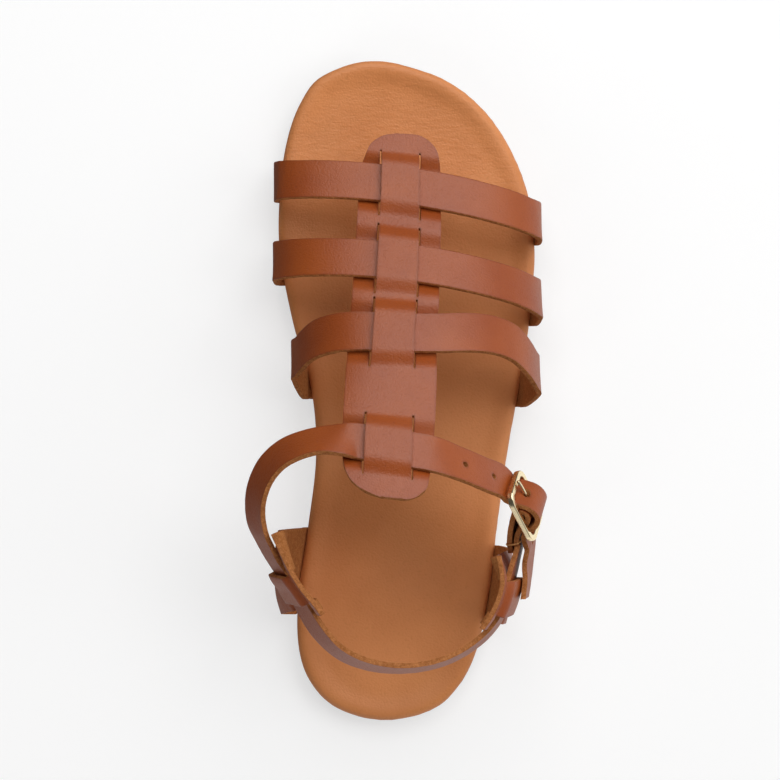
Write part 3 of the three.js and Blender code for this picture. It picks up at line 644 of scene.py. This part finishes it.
def punch(mesh, holes):
    """Round holes: the vertex nearest each centre is taken out, and those round it make a ring."""
    for centre, radius in holes:
        middle = min(mesh.verts, key=lambda vert: (vert.co - centre).length)
        ring = {vert for face in middle.link_faces for vert in face.verts} - {middle}
        spot, up = middle.co.copy(), middle.normal.copy()
        bmesh.ops.delete(mesh, geom=[middle], context="VERTS")
        sides = [edge for edge in mesh.edges if ring.issuperset(edge.verts)]
        for side in sides:
            ring.add(bmesh.utils.edge_split(side, side.verts[0], 0.5)[1])
        for vert in ring:
            out = vert.co - spot
            out -= up * out.dot(up)
            vert.co = vert.co - out + out.normalized() * radius


def wobble(mesh):
    """Leather is never quite even: slow waves in the surface, and a hand-cut edge. The distance
    to the nearest cut edge is kept for the material."""
    mesh.normal_update()
    rim = [vert for vert in mesh.verts if vert.is_boundary]
    tree = KDTree(len(rim))
    for index, vert in enumerate(rim):
        tree.insert(vert.co, index)
    tree.balance()
    layer = mesh.verts.layers.float.new("to_edge")
    shifts = []
    for vert in mesh.verts:
        vert[layer] = tree.find(vert.co)[2] / mm
        shift = vert.normal * noise.noise(vert.co / slow_length) * slow_wave * mm
        if vert.is_boundary:
            shift += noise.noise_vector(vert.co / cut_length) * cut_wave * mm
        shifts.append(shift)
    for vert, shift in zip(mesh.verts, shifts):
        vert.co += shift


def cognac_leather():
    """Waxed outside of the straps: fine grain, and darker within about a millimetre of the cut edges."""
    material, tree, shader = new_material("cognac_grain", {"Specular IOR Level": 0.62})
    spot = add_node(tree, "ShaderNodeTexCoord").outputs["Object"]
    grain = place_group(tree, grain_group, Vector=spot, Pebble=1700.0, Wrinkle=330.0)
    tone = place_group(tree, tone_group, Vector=spot, Patch=45.0)["Tone"]
    edge = add_node(tree, "ShaderNodeAttribute", attribute_name="to_edge").outputs["Fac"]
    colour = blend_colours(tree, tone, (0.285, 0.050, 0.0028, 1), (0.35, 0.070, 0.0048, 1))
    # The colour is darkened within about a millimetre of the cut edges.
    darker_near_edge = maths(tree, "MULTIPLY", in_range(tree, edge, 0.9, 0.0), 0.35)
    colour = blend_colours(tree, darker_near_edge, colour, (0.16, 0.034, 0.009, 1))
    pores = maths(tree, "MULTIPLY", grain["Pores"], 0.25)
    colour = blend_colours(tree, pores, colour, (0.15, 0.03, 0.008, 1))
    tree.links.new(colour, shader.inputs["Base Color"])
    tree.links.new(in_range(tree, grain["Height"], 0.2, 0.9, 0.54, 0.42), shader.inputs["Roughness"])
    bump = add_node(
        tree, "ShaderNodeBump", {"Height": grain["Height"], "Strength": 0.55, "Distance": 0.00016})
    tree.links.new(bump.outputs[0], shader.inputs["Normal"])
    return material


def open_fibres(name, dark, light, fibre, depth):
    """Suede, or a cut edge: fibres standing in all directions, with no shine."""
    material, tree, shader = new_material(name, {"Roughness": 0.95, "Specular IOR Level": 0.12})
    spot = add_node(tree, "ShaderNodeTexCoord").outputs["Object"]
    fibres = place_group(tree, fibre_group, Vector=spot, Fibre=fibre, Clump=0.3 * fibre)
    tree.links.new(blend_colours(tree, fibres["Specks"], dark, light), shader.inputs["Base Color"])
    bump = add_node(
        tree, "ShaderNodeBump", {"Height": fibres["Height"], "Strength": 0.8, "Distance": depth})
    tree.links.new(bump.outputs[0], shader.inputs["Normal"])
    return material


suede = open_fibres("flesh_side", (0.33, 0.118, 0.034, 1), (0.52, 0.215, 0.072, 1), 3000.0, 0.0002)
raw_edge = open_fibres("cut_edge", (0.26, 0.088, 0.024, 1), (0.54, 0.215, 0.076, 1), 2800.0, 0.00022)
strap_materials = [cognac_leather(), suede, raw_edge]


def across_lines(width, count):
    """Lines across a strip, with one close to each edge."""
    half = width / 2
    return [-half, *steps(0.5 - half, half - 0.5, count), half]


def band_route(y, slant, bow, drop, medial, lateral, medial_end, lateral_end):
    middle = last_middle(y)
    rise = instep(y - 4) - instep(y + 4)
    leaning = Vector((0, -8, rise)).normalized()
    level = Vector((0, -1, 0))
    rows = [(point, level) for point in turned_end(edge_at(medial_end, -1), medial_end, -1)]
    for degrees in steps(-arch_end, arch_end, 14):
        angle = math.radians(degrees)
        reach = middle - medial if degrees < 0 else lateral - middle
        x = middle + math.copysign(abs(math.sin(angle)) ** (2 / arch_fullness), degrees) * reach
        plan_y = y + slant * x + bow * x ** 2 + drop * x ** 4
        up = abs(math.cos(angle)) ** (2 / arch_roundness)
        end = medial_end if degrees < 0 else lateral_end
        swing = swing_share * smooth_share((abs(degrees) - swing_from) / (arch_end - swing_from))
        plan_y += (end - plan_y) * swing
        z = widest_height + (instep(plan_y) - widest_height) * up
        rows.append((Vector((x, plan_y, z)), leaning))
    ends = turned_end(edge_at(lateral_end, 1), lateral_end, 1)
    return rows + [(point, level) for point in reversed(ends)]


for name, node, *shape in band_rows:
    route = band_route(*shape)
    spans = len(route) - 1
    leather_sheet(
        name, across_lines(band_width, strap_faces), steps(0, spans, band_faces * spans),
        ribbon(route), [node])

# ---------------------------------------------------------------------------------------------
# Centre strip: one long piece of the same leather with four pairs of slits. The bands and the
# ankle strap are pushed through the slits, under the tongue and over the two sides.
# ---------------------------------------------------------------------------------------------
strip_rows = (  # y, half width, half width of the tongue, slant of what crosses it there
    (96, 14, 7, -0.05), (74, 14.6, 7.1, -0.134), (46, 15, 7.4, -0.119), (20, 15.2, 7.5, -0.045),
    (-2, 15.7, 8, -0.05), (-19, 15.4, 8.4, -0.15), (-38, 14.7, 8.4, -0.1),
)
strip_slits = ((86, 61.4), (58.6, 33.4), (32.4, 8), (-8, -29.4))  # front and rear end of each pair
strip_front = 92.6
strip_rear = -36.2
strip_ramp = 6.2
strip_rise = 2.5  # of the tongue above the strip's own line, and of its sides below it
tab_rows = (  # distance to the end, then half width: front medial, lateral, rear medial, lateral
    (0, 1, 5.5, 2, 6.5), (0.7, 4.4, 8.2, 5.2, 8.8), (2, 7.3, 10.6, 8.9, 11),
    (4.5, 10.4, 12.9, 12.4, 13.3), (8.5, 12.4, 14.2, 14.6, 14.2), (13, 14.1, 14.6, 15.3, 14.8),
)
line_pitch = 0.9  # between the grid's lines, outside the slits and beside them
slit_line_pitch = 0.8
tab_half = [table_column(tab_rows, k) for k in (1, 2, 3, 4)]
slit_half = 0.045  # half of a slit's opening, as the columns of strip_place count
strip_half, strip_tongue, strip_slant = (table_column(strip_rows, k) for k in (1, 2, 3))


def weave_share(place, slit, ramp):
    front, rear = slit
    return smooth_share(min(front - place, place - rear) / ramp)


def half_width(y, side):
    """Half the strip's width on one side, rounded off towards its two ends."""
    inside = min(strip_front - y, y - strip_rear)
    if inside >= tab_rows[-1][0]:
        return strip_half(y)
    rear = strip_front - y > y - strip_rear
    return tab_half[2 * rear + (side > 0)](max(0, inside))


def strip_place(column, y):
    """Columns: 1 is at a slit and 2 at the strip's edge."""
    half = half_width(y, column)
    tongue = min(strip_tongue(y), 0.6 * half)
    size = abs(column)
    offset = tongue * size if size <= 1 else tongue + (half - tongue) * (size - 1)
    offset = math.copysign(offset, column)
    x = last_middle(y) + offset
    slanted = y + strip_slant(y) * offset
    slit = next((row for row in strip_slits if row[1] < y < row[0]), None)
    share = weave_share(y, slit, strip_ramp) if slit else 0
    lift = (strip_rise if size < 1 else -strip_rise) * share
    slope = (instep(y - 1) - instep(y + 1)) / 2
    normal = Vector((0, slope, 1)).normalized()
    return Vector((x, slanted, last_height(x, slanted))) + normal * lift


tab_steps = (0, 0.35, 0.8, 1.4, 2.1, 2.9, 3.8, 4.7)
strip_lines = [strip_front - step for step in tab_steps]
front = strip_lines[-1]
for slit in (*strip_slits, (strip_rear + tab_steps[-1], strip_rear)):
    count = max(1, round((front - slit[0]) / line_pitch))
    strip_lines += steps(front, slit[0], count)[1:]
    if slit[1] > strip_rear:
        strip_lines += steps(slit[0], slit[1], round((slit[0] - slit[1]) / slit_line_pitch))[1:]
    front = slit[1]
strip_lines += [strip_rear + step for step in reversed(tab_steps[:-1])]
inner, outer = 1 - slit_half, 1 + slit_half
side = [outer, *steps(1.12, 1.88, 5), 1.95, 2]
strip_columns = [-c for c in reversed(side)] + [-inner, *steps(-0.9, 0.9, 12), inner] + side


def in_strip_slit(column, y):
    return inner < abs(column) < outer and any(rear < y < front for front, rear in strip_slits)


leather_sheet(
    "centre_strip_woven", strip_columns, strip_lines[::-1], strip_place, ["centre_strip"], in_strip_slit)

# ---------------------------------------------------------------------------------------------
# Quarters: the two side pieces beside the heel. Each rises from under the footbed and has two
# slits near its top, and the ankle strap runs through them, behind the middle part.
# ---------------------------------------------------------------------------------------------
quarter_lift = leather + gap + 0.25 * mm  # of the parts beside the strap, out or in
belly_height = 26
belly_share = 0.4
strap_height = 50
strap_half = 6.5
quarter_top = 63.5
quarter_slit = (60.5, 40)
quarter_ramp = 3
slit_rows = (1, 3)
quarter_opening = 0.05
quarters = (  # name, node, side, rows of y, y at the sole, belly, strap, lean and top
    ("lateral_side_piece", "quarter_lateral", 1, (
        (-57.5, -57, 36.4, 31.2, 10, 29.4), (-66.3, -65, 36.8, 34.8, 15, 30.6),
        (-72.4, -71, 36.4, 33.7, 16, 29.3), (-78.6, -78, 35.4, 31.3, 17.5, 26.4),
        (-83, -84.5, 34.2, 28.7, 20, 23.2),
    )),
    ("medial_side_piece", "quarter_medial", -1, (
        (-49.5, -50.3, -43.4, -48, -6, -49.4), (-63.8, -61.5, -46.7, -46.2, 16, -42.4),
        (-68.8, -68.5, -47.7, -42.9, 18, -39.1), (-74, -75.5, -47.2, -39.6, 20, -34.9),
        (-77.8, -82, -45.6, -37.3, 21.5, -32.1),
    )),
)


def quarter_surface(side, rows):
    """The middle surface of a quarter, over the table's rows and up from under the footbed, and
    the height that it has reached."""
    ribs = []
    for y, end_y, belly, strap, lean, top in rows:
        inward = -side * math.tan(math.radians(lean)) * strap_half
        ribs.append(line_through([
            *turned_end(edge_at(end_y, side), end_y, side),
            Vector((belly, end_y + (y - end_y) * belly_share, belly_height)),
            Vector((strap - inward, y, strap_height - strap_half)),
            Vector((strap + inward, y, strap_height + strap_half)),
            Vector((top, y, quarter_top)),
        ]))
    spans = len(turn_rows) + 3

    def flat_place(u, v):
        share = min(max(v / spans, 0), 1)
        return line_through([rib(share) for rib in ribs])(u / (len(rows) - 1))

    def height(v):
        return ribs[2](min(max(v / spans, 0), 1)).z

    def place(u, v):
        lift = quarter_lift / mm * weave_share(height(v), quarter_slit, quarter_ramp)
        if lift == 0:
            return flat_place(u, v)
        between = slit_rows[0] < u < slit_rows[1]
        along_u = flat_place(u + 0.05, v) - flat_place(u - 0.05, v)
        along_v = flat_place(u, v + 0.05) - flat_place(u, v - 0.05)
        outward = along_v.cross(along_u).normalized() * side
        return flat_place(u, v) + outward * (lift if between else -lift)

    return place, height, spans


for name, node, side, rows in quarters:
    place, height, spans = quarter_surface(side, rows)
    slit_v = []
    for level in reversed(quarter_slit):
        low, high = 0, spans
        for _ in range(30):
            middle = (low + high) / 2
            low, high = (middle, high) if height(middle) < level else (low, middle)
        slit_v.append(low)
    slit_low, slit_high = slit_v
    us = [0, 0.05, *steps(0.15, 0.85, 6), 0.95, 1.05, *steps(1.15, 2.85, 15), 2.95, 3.05,
          *steps(3.15, 3.85, 6), 3.95, 4]
    vs = [*steps(0, 3, 20), *steps(3, slit_low, 24)[1:], *steps(slit_low, slit_high, 24)[1:],
          *steps(slit_high, spans, 4)[1:]]

    def in_quarter_slit(u, v):
        return slit_low < v < slit_high and any(abs(u - row) < quarter_opening for row in slit_rows)

    leather_sheet(name, us[::-side], vs, place, [node], in_quarter_slit)

# ---------------------------------------------------------------------------------------------
# Ankle strap: one long strap. Its end is folded round the buckle's centre bar and stitched. It
# runs through both quarters, round the heel, over the instep under the centre strip's tongue, and
# through the buckle. Round holes are punched along its other end.
# ---------------------------------------------------------------------------------------------
strap_width = 13
buckle_centre = Vector((39, -40.2, 58.5))
buckle_along = Vector((0.428, -0.764, -0.481)).normalized()
buckle_down = Vector((0.264, 0.616, -0.743))
buckle_down = (buckle_down - buckle_along * buckle_down.dot(buckle_along)).normalized()
buckle_out = buckle_along.cross(buckle_down)
chape_rows = (  # along the buckle and out of it
    (14.5, -10.4), (10, -8.9), (5.5, -6.8), (2, -4.7), (-1, -2.7), (-2.6, -0.5), (-2, 1.5), (0, 2.35),
    (2.3, 1.3), (4.5, -1.8), (7, -4.4), (10, -6.2), (14.5, -7.9),
)
ankle_rows = (  # x, y, z and lean. With no z the row lies on the last.
    (34.7, -66.9, 50, 14), (33.2, -74, 49.8, 13), (29.9, -81.4, 50, 13), (23.5, -88.2, 51.2, 14),
    (13.2, -94.2, 53.3, 14), (3.8, -96.8, 54.6, 14), (-6.3, -97.4, 55.2, 15), (-16.8, -95.8, 54.6, 17),
    (-25.8, -91.8, 53.2, 19), (-33, -84.8, 51.6, 21.5), (-37.8, -77.4, 50.7, 21), (-40.3, -72.8, 50.3, 19.5),
    (-43.1, -68.4, 50.2, 17.5), (-46.2, -63.8, 50.5, 15), (-49.4, -59, 51.4, 14.5), (-52, -54, 53, 16),
    (-54.5, -48.6, 55.6, 19), (-55.6, -41.5, 59.5, 22),
    (-54.7, -34, 64.5, 25), (-51.7, -27.2, 69, 29), (-46.3, -21.6, 73.3, 33), (-39, -18.2, 76.8, 35),
    (-32, -16.6, 79, 38), (-25.8, -16.5, 80.6, 50), (-20, -17.2, None, 64), (-10.2, -18.8, None, 66),
    (-2, -20.2, None, 66), (5.6, -21.6, None, 63), (15, -25, 77, 50), (24.3, -28.9, 70.2, 44),
)
billet_rows = (  # along the buckle and out of it
    (-11.5, -3.2), (-8.6, -2.6), (-6, 0.2), (-3.2, 3.9), (-0.4, 5.3), (2.4, 5.2), (5.2, 2.9), (7, -1),
    (9, -3), (12, -3.6), (15, -4.2),
)
tail_rows = (  # x, y, z and lean
    (41.3, -60.3, 46.5, 16), (41, -67, 45.8, 12), (40.2, -73.4, 45.5, 11),
)
hole_radius = 1.1
pin_hole_radius = 1.4
hole_pitches = ((-1, (17, 14)), (1, (13, 13)))  # before and after the pin's hole
slot_half = 1.3
slot_span = (3.4, 8.75)  # rows of the table that the slot for the pin's eye runs over


def at_buckle(along, out, down=0):
    return buckle_centre + buckle_along * along + buckle_out * out + buckle_down * down


table = [*chape_rows, *ankle_rows, *billet_rows, *tail_rows]
strap_points = []
for row in table:
    if len(row) == 2:
        strap_points.append(at_buckle(*row))
    else:
        x, y, z = row[:3]
        strap_points.append(Vector((x, y, last_height(x, y) if z is None else z)))
strap_line = line_through(strap_points)
strap_spans = len(table) - 1
strap_route = []
for index, (row, point) in enumerate(zip(table, strap_points)):
    if len(row) == 2:
        strap_route.append((point, -buckle_down))
        continue
    share = index / strap_spans
    tangent = (strap_line(min(1, share + 1e-4)) - strap_line(max(0, share - 1e-4))).normalized()
    inward = tangent.cross(Vector((0, 0, 1))).normalized()
    lean = math.radians(row[3])
    across = Vector((0, 0, math.cos(lean))) + inward * math.sin(lean)
    strap_route.append((point, (across - tangent * across.dot(tangent)).normalized()))

# The grid's lines lie about a millimetre apart.
strap_lines = [0]
while strap_lines[-1] < strap_spans:
    start = strap_lines[-1]
    here = strap_line(start / strap_spans)
    step = 0.05
    while start + step < strap_spans and (strap_line((start + step) / strap_spans) - here).length < 1:
        step += 0.02
    strap_lines.append(min(strap_spans, start + step))

# The pin goes through the hole over the centre bar. The others are spaced along the strap.
pin_v = len(chape_rows) + len(ankle_rows) + 2.5
holes = [(strap_line(pin_v / strap_spans) * mm, pin_hole_radius * mm)]
for direction, pitches in hole_pitches:
    v = pin_v
    for pitch in pitches:
        passed = 0
        while passed < pitch:
            here = strap_line(v / strap_spans)
            v += direction * 0.02
            passed += (strap_line(v / strap_spans) - here).length
        holes.append((strap_line(v / strap_spans) * mm, hole_radius * mm))


def in_pin_slot(u, v):
    return abs(u) < slot_half and slot_span[0] < v < slot_span[1]


leather_sheet(
    "ankle_strap_punched", across_lines(strap_width, strap_faces), strap_lines, ribbon(strap_route),
    ["ankle_strap"], in_pin_slot, holes)

# ---------------------------------------------------------------------------------------------
# Stitches: waxed tan thread that holds the folded end of the ankle strap, sewn through both
# layers in one row across it and once over each edge.
# ---------------------------------------------------------------------------------------------
seam_along = 10.6
outer_face = -5.3  # out of the buckle, as the inner one
inner_face = -10.2
thread_radius = 0.28
stitch_length = 1.7
stitch_parts = 5
stitch_bow = 0.22
stitch_taper = (0.5, 0.95, 1, 1, 0.95, 0.5)


def rod(mesh, route, radii, side, segments=12):
    """A round rod along the points of a route, with a radius for each and closed ends."""
    def frame_at(index):
        ahead = route[min(index + 1, len(route) - 1)] - route[max(index - 1, 0)]
        along = ahead.normalized()
        across = (side - along * side.dot(along)).normalized()
        turn = Matrix((across, along.cross(across), along)).transposed().to_4x4()
        size = Matrix.Diagonal((radii[index], radii[index], 1, 1))
        return Matrix.Translation(route[index]) @ turn @ size

    made = bmesh.ops.create_circle(
        mesh, cap_ends=True, segments=segments, radius=1, matrix=frame_at(0))
    end = made["verts"][0].link_faces[0]
    for index in range(1, len(route)):
        before = end
        made = bmesh.ops.extrude_face_region(mesh, geom=[before], use_keep_orig=True)["geom"]
        ring = [item for item in made if isinstance(item, bmesh.types.BMVert)]
        end = next(
            item for item in made
            if isinstance(item, bmesh.types.BMFace) and len(item.verts) == segments)
        bmesh.ops.transform(mesh, verts=ring, matrix=frame_at(index) @ frame_at(index - 1).inverted())
        if index > 1:
            bmesh.ops.delete(mesh, geom=[before], context="FACES_ONLY")


thread_mesh = bmesh.new()
for face, bow in ((outer_face, stitch_bow), (inner_face, -stitch_bow)):
    for start in steps(-4.9, 3.2, 3):
        route = []
        for k, down in enumerate(steps(start, start + stitch_length, stitch_parts)):
            out = face + bow * math.sin(math.pi * k / stitch_parts)
            route.append(at_buckle(seam_along, out, down) * mm)
        rod(thread_mesh, route, [thread_radius * mm * share for share in stitch_taper], buckle_along)
for side in (-1, 1):
    turns = ((5.2, outer_face), (6, outer_face + 0.2), (6.75, outer_face - 0.3), (6.95, -7.8),
             (6.75, inner_face + 0.3), (6, inner_face - 0.2), (5.2, inner_face))
    route = [at_buckle(seam_along, out, side * down) * mm for down, out in turns]
    rod(thread_mesh, route, [thread_radius * mm] * len(route), buckle_along)
bmesh.ops.recalc_face_normals(thread_mesh, faces=thread_mesh.faces)
thread, tree, shader = new_material(
    "waxed_thread", {"Base Color": (0.55, 0.26, 0.09, 1), "Roughness": 0.6, "Specular IOR Level": 0.3})
finish_piece("chape_stitches", thread_mesh, [thread], [])

# ---------------------------------------------------------------------------------------------
# Buckle frame: a rectangle with rounded corners, cast with flat faces and softened edges, and
# plated light gold. Its round centre bar, across the strap, holds the folded strap and the pin.
# ---------------------------------------------------------------------------------------------
buckle_length = 22
buckle_width = 17.8
buckle_bar = 2  # the section's middle lies half of this inside the outline
buckle_corner = 4.2
bar_radius = 0.9
frame_face = 2.2  # width of the frame's flat face
frame_depth = 2.2
frame_rounding = 0.5


def into_buckle(mesh):
    turn = Matrix((buckle_along, buckle_down, buckle_out)).transposed().to_4x4()
    turn = Matrix.Translation(buckle_centre * mm) @ turn @ Matrix.Scale(mm, 4)
    bmesh.ops.transform(mesh, verts=mesh.verts, matrix=turn)
    bmesh.ops.recalc_face_normals(mesh, faces=mesh.faces)


def polished_gold():
    """Light gold plating with fine wear."""
    material, tree, shader = new_material("gold_plating", {"Metallic": 1})
    spot = add_node(tree, "ShaderNodeTexCoord").outputs["Object"]
    wear = add_node(tree, "ShaderNodeTexNoise", {"Vector": spot, "Scale": 700, "Detail": 4}).outputs[0]
    tree.links.new(
        blend_colours(tree, wear, (0.90, 0.73, 0.42, 1), (0.97, 0.86, 0.60, 1)), shader.inputs["Base Color"])
    tree.links.new(in_range(tree, wear, 0.3, 0.7, 0.2, 0.3), shader.inputs["Roughness"])
    bump = add_node(tree, "ShaderNodeBump", {"Height": wear, "Strength": 0.03, "Distance": 0.0001})
    tree.links.new(bump.outputs[0], shader.inputs["Normal"])
    return material


gold = polished_gold()
buckle_mesh = bmesh.new()
half = Vector(((buckle_length - buckle_bar) / 2, (buckle_width - buckle_bar) / 2))
bend = buckle_corner - buckle_bar / 2
bmesh.ops.create_grid(buckle_mesh, x_segments=1, y_segments=1, size=1)
for vert in buckle_mesh.verts:
    vert.co = (half.x + vert.co.x * frame_face / 2, bend - half.y, vert.co.y * frame_depth / 2)
bmesh.ops.bevel(
    buckle_mesh, geom=buckle_mesh.verts[:], offset=frame_rounding, affect="VERTICES", segments=4, profile=0.5,
    material=-1)
bmesh.ops.delete(buckle_mesh, geom=buckle_mesh.faces[:], context="FACES_ONLY")
edges = buckle_mesh.edges[:]
for quarter in range(4):
    turn = Matrix.Rotation(quarter * math.pi / 2, 4, "Z")
    reach = half.yx if quarter % 2 else half
    made = bmesh.ops.extrude_edge_only(buckle_mesh, edges=edges)["geom"]
    moved = {item for item in made if isinstance(item, bmesh.types.BMVert)}
    straight = turn @ Vector((0, 2 * (reach.y - bend), 0))
    bmesh.ops.translate(buckle_mesh, verts=list(moved), vec=straight)
    edges = [
        item for item in made
        if isinstance(item, bmesh.types.BMEdge) and moved.issuperset(item.verts)]
    made = bmesh.ops.spin(
        buckle_mesh, geom=edges, cent=turn @ Vector((reach.x - bend, reach.y - bend, 0)),
        axis=(0, 0, 1), angle=math.pi / 2, steps=14)["geom_last"]
    edges = [item for item in made if isinstance(item, bmesh.types.BMEdge)]
bmesh.ops.remove_doubles(buckle_mesh, verts=buckle_mesh.verts, dist=1e-4)
bmesh.ops.create_cone(
    buckle_mesh, cap_ends=True, segments=24, radius1=bar_radius, radius2=bar_radius,
    depth=buckle_width - buckle_bar, matrix=Matrix.Rotation(math.pi / 2, 4, "X"))
into_buckle(buckle_mesh)
buckle = finish_piece("buckle_frame_cast", buckle_mesh, [gold], ["buckle_frame"])
buckle.modifiers.new("flat_faces", "WEIGHTED_NORMAL")

# ---------------------------------------------------------------------------------------------
# Buckle pin: a wire with an eye round the centre bar. Its shank goes through the strap's hole,
# and its thinner tip rests on the frame.
# ---------------------------------------------------------------------------------------------
pin_radius = 0.75
pin_gap = 0.3
pin_faces = 14
shank_parts = 16
eye_radius = bar_radius + pin_gap + pin_radius
pin_rest = buckle_bar / 2 + pin_gap + pin_radius
pin_mesh = bmesh.new()
bmesh.ops.create_circle(
    pin_mesh, segments=pin_faces, radius=pin_radius, matrix=Matrix.Translation((eye_radius, 0, 0)))
bmesh.ops.spin(
    pin_mesh, geom=pin_mesh.edges[:], cent=(0, 0, 0), axis=(0, 1, 0), angle=math.tau, steps=32)
bmesh.ops.remove_doubles(pin_mesh, verts=pin_mesh.verts, dist=1e-4)
shank = line_through([
    Vector((-0.6, 0, eye_radius - 0.15)), Vector((-4, 0, pin_rest + 0.1)),
    Vector((-8.4, 0, pin_rest + 0.1)), Vector((-11.2, 0, pin_rest - 0.2)),
])
shares = [*steps(0, 0.96, shank_parts), 0.98, 0.993, 1]
taper = [*steps(1, 0.82, shank_parts), 0.75, 0.55, 0.2]
rod(pin_mesh, [shank(share) for share in shares], [pin_radius * size for size in taper],
    Vector((0, 1, 0)), pin_faces)
into_buckle(pin_mesh)
finish_piece("buckle_pin_wire", pin_mesh, [gold], ["buckle_pin"])

# ---------------------------------------------------------------------------------------------
# Stage: a pale studio floor, a large soft light high before the toes, and two weak ones, on the
# outer side and behind the inner side. The camera looks almost straight down, from a little to the
# inner side.
# ---------------------------------------------------------------------------------------------
floor_glow = 0.59
room_strength = 0.07
wall_tilt = 0.5  # how fast the walls fade with height
behind_share = 0.9
wall_from, wall_full = 0.45, 0.95
view = bpy.context.scene.view_settings
view.view_transform = "Standard"
low, high = cad_box
floor_mesh = bmesh.new()
bmesh.ops.create_grid(floor_mesh, x_segments=1, y_segments=1, size=3)
floor_data = bpy.data.meshes.new("studio_floor")
floor_mesh.to_mesh(floor_data)
floor_mesh.free()
floor = bpy.data.objects.new("studio_floor", floor_data)
bpy.context.collection.objects.link(floor)
floor.location.z = low.z
floor.visible_glossy = False
floor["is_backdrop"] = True
paper, tree, shader = new_material("pale_paper", {
    "Base Color": (0.42, 0.42, 0.42, 1), "Roughness": 0.9, "Specular IOR Level": 0.1,
    "Emission Color": (1, 1, 1, 1)})
# A little glow lightens its shadows in the picture, and adds no light to the sandal.
seen = add_node(tree, "ShaderNodeLightPath").outputs["Is Camera Ray"]
tree.links.new(maths(tree, "MULTIPLY", seen, floor_glow), shader.inputs["Emission Strength"])
floor_data.materials.append(paper)

world = bpy.data.worlds.new("studio")
bpy.context.scene.world = world
world.use_nodes = True
tree = world.node_tree
background = tree.nodes["Background"]
background.inputs["Color"].default_value = (1, 1, 1, 1)
# The room is dark but for pale walls low on the outer side and behind the heel. The picture shows
# it as white.
way = add_node(tree, "ShaderNodeTexCoord").outputs["Generated"]
way = add_node(tree, "ShaderNodeSeparateXYZ", {0: way})
behind = maths(tree, "MULTIPLY", way.outputs["Y"], -behind_share)
outward = maths(tree, "MAXIMUM", way.outputs["X"], behind)
outward = maths(tree, "SUBTRACT", outward, maths(tree, "MULTIPLY", way.outputs["Z"], wall_tilt))
wall = in_range(tree, outward, wall_from, wall_full, room_strength, 1.0)
seen = add_node(tree, "ShaderNodeLightPath").outputs["Is Camera Ray"]
tree.links.new(maths(tree, "MAXIMUM", wall, seen), background.inputs["Strength"])


def soft_box(name, place, size, power):
    """A square soft light that points at the sandal."""
    data = bpy.data.lights.new(name, "AREA")
    data.shape = "SQUARE"
    data.size = size
    data.energy = power
    lamp = bpy.data.objects.new(name, data)
    bpy.context.collection.objects.link(lamp)
    lamp.location = place
    lamp.rotation_mode = "QUATERNION"
    lamp.rotation_quaternion = (-Vector(place)).to_track_quat("-Z", "Y")
    return lamp


soft_box("before_toes", (0.2, 0.8, 1.0), 1.3, 16)
for name, place, size, power in (
        ("outer_side", (1.1, 0, 1.0), 0.9, 5),
        ("inner_side", (-0.7, -1.0, 0.8), 0.9, 4)):
    soft_box(name, place, size, power).visible_glossy = False

camera_data = bpy.data.cameras.new("camera")
camera = bpy.data.objects.new("camera", camera_data)
bpy.context.collection.objects.link(camera)
bpy.context.scene.camera = camera
camera_height = 1.0
camera_aside = -52 * mm  # from the last's own axis
aim_aside = -5.75 * mm
shown_width = 0.2903  # of the floor, in metres
sensor = 36
middle = (low + high) / 2
middle.y += 0.5 * mm
camera.location = (to_frame.x + camera_aside, middle.y, camera_height)
aim = Vector((to_frame.x + aim_aside, middle.y, low.z)) - camera.location
camera_data.sensor_width = sensor
camera_data.lens = sensor * aim.length / shown_width
camera_data.dof.use_dof = False
# The aim turns about the sandal's long axis only, so the toes stay at the top of the picture.
camera.rotation_euler = (0, -math.atan2(aim.x, -aim.z), 0)

made_low, made_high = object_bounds()
str([[list(low), list(high)], [list(made_low), list(made_high)]])
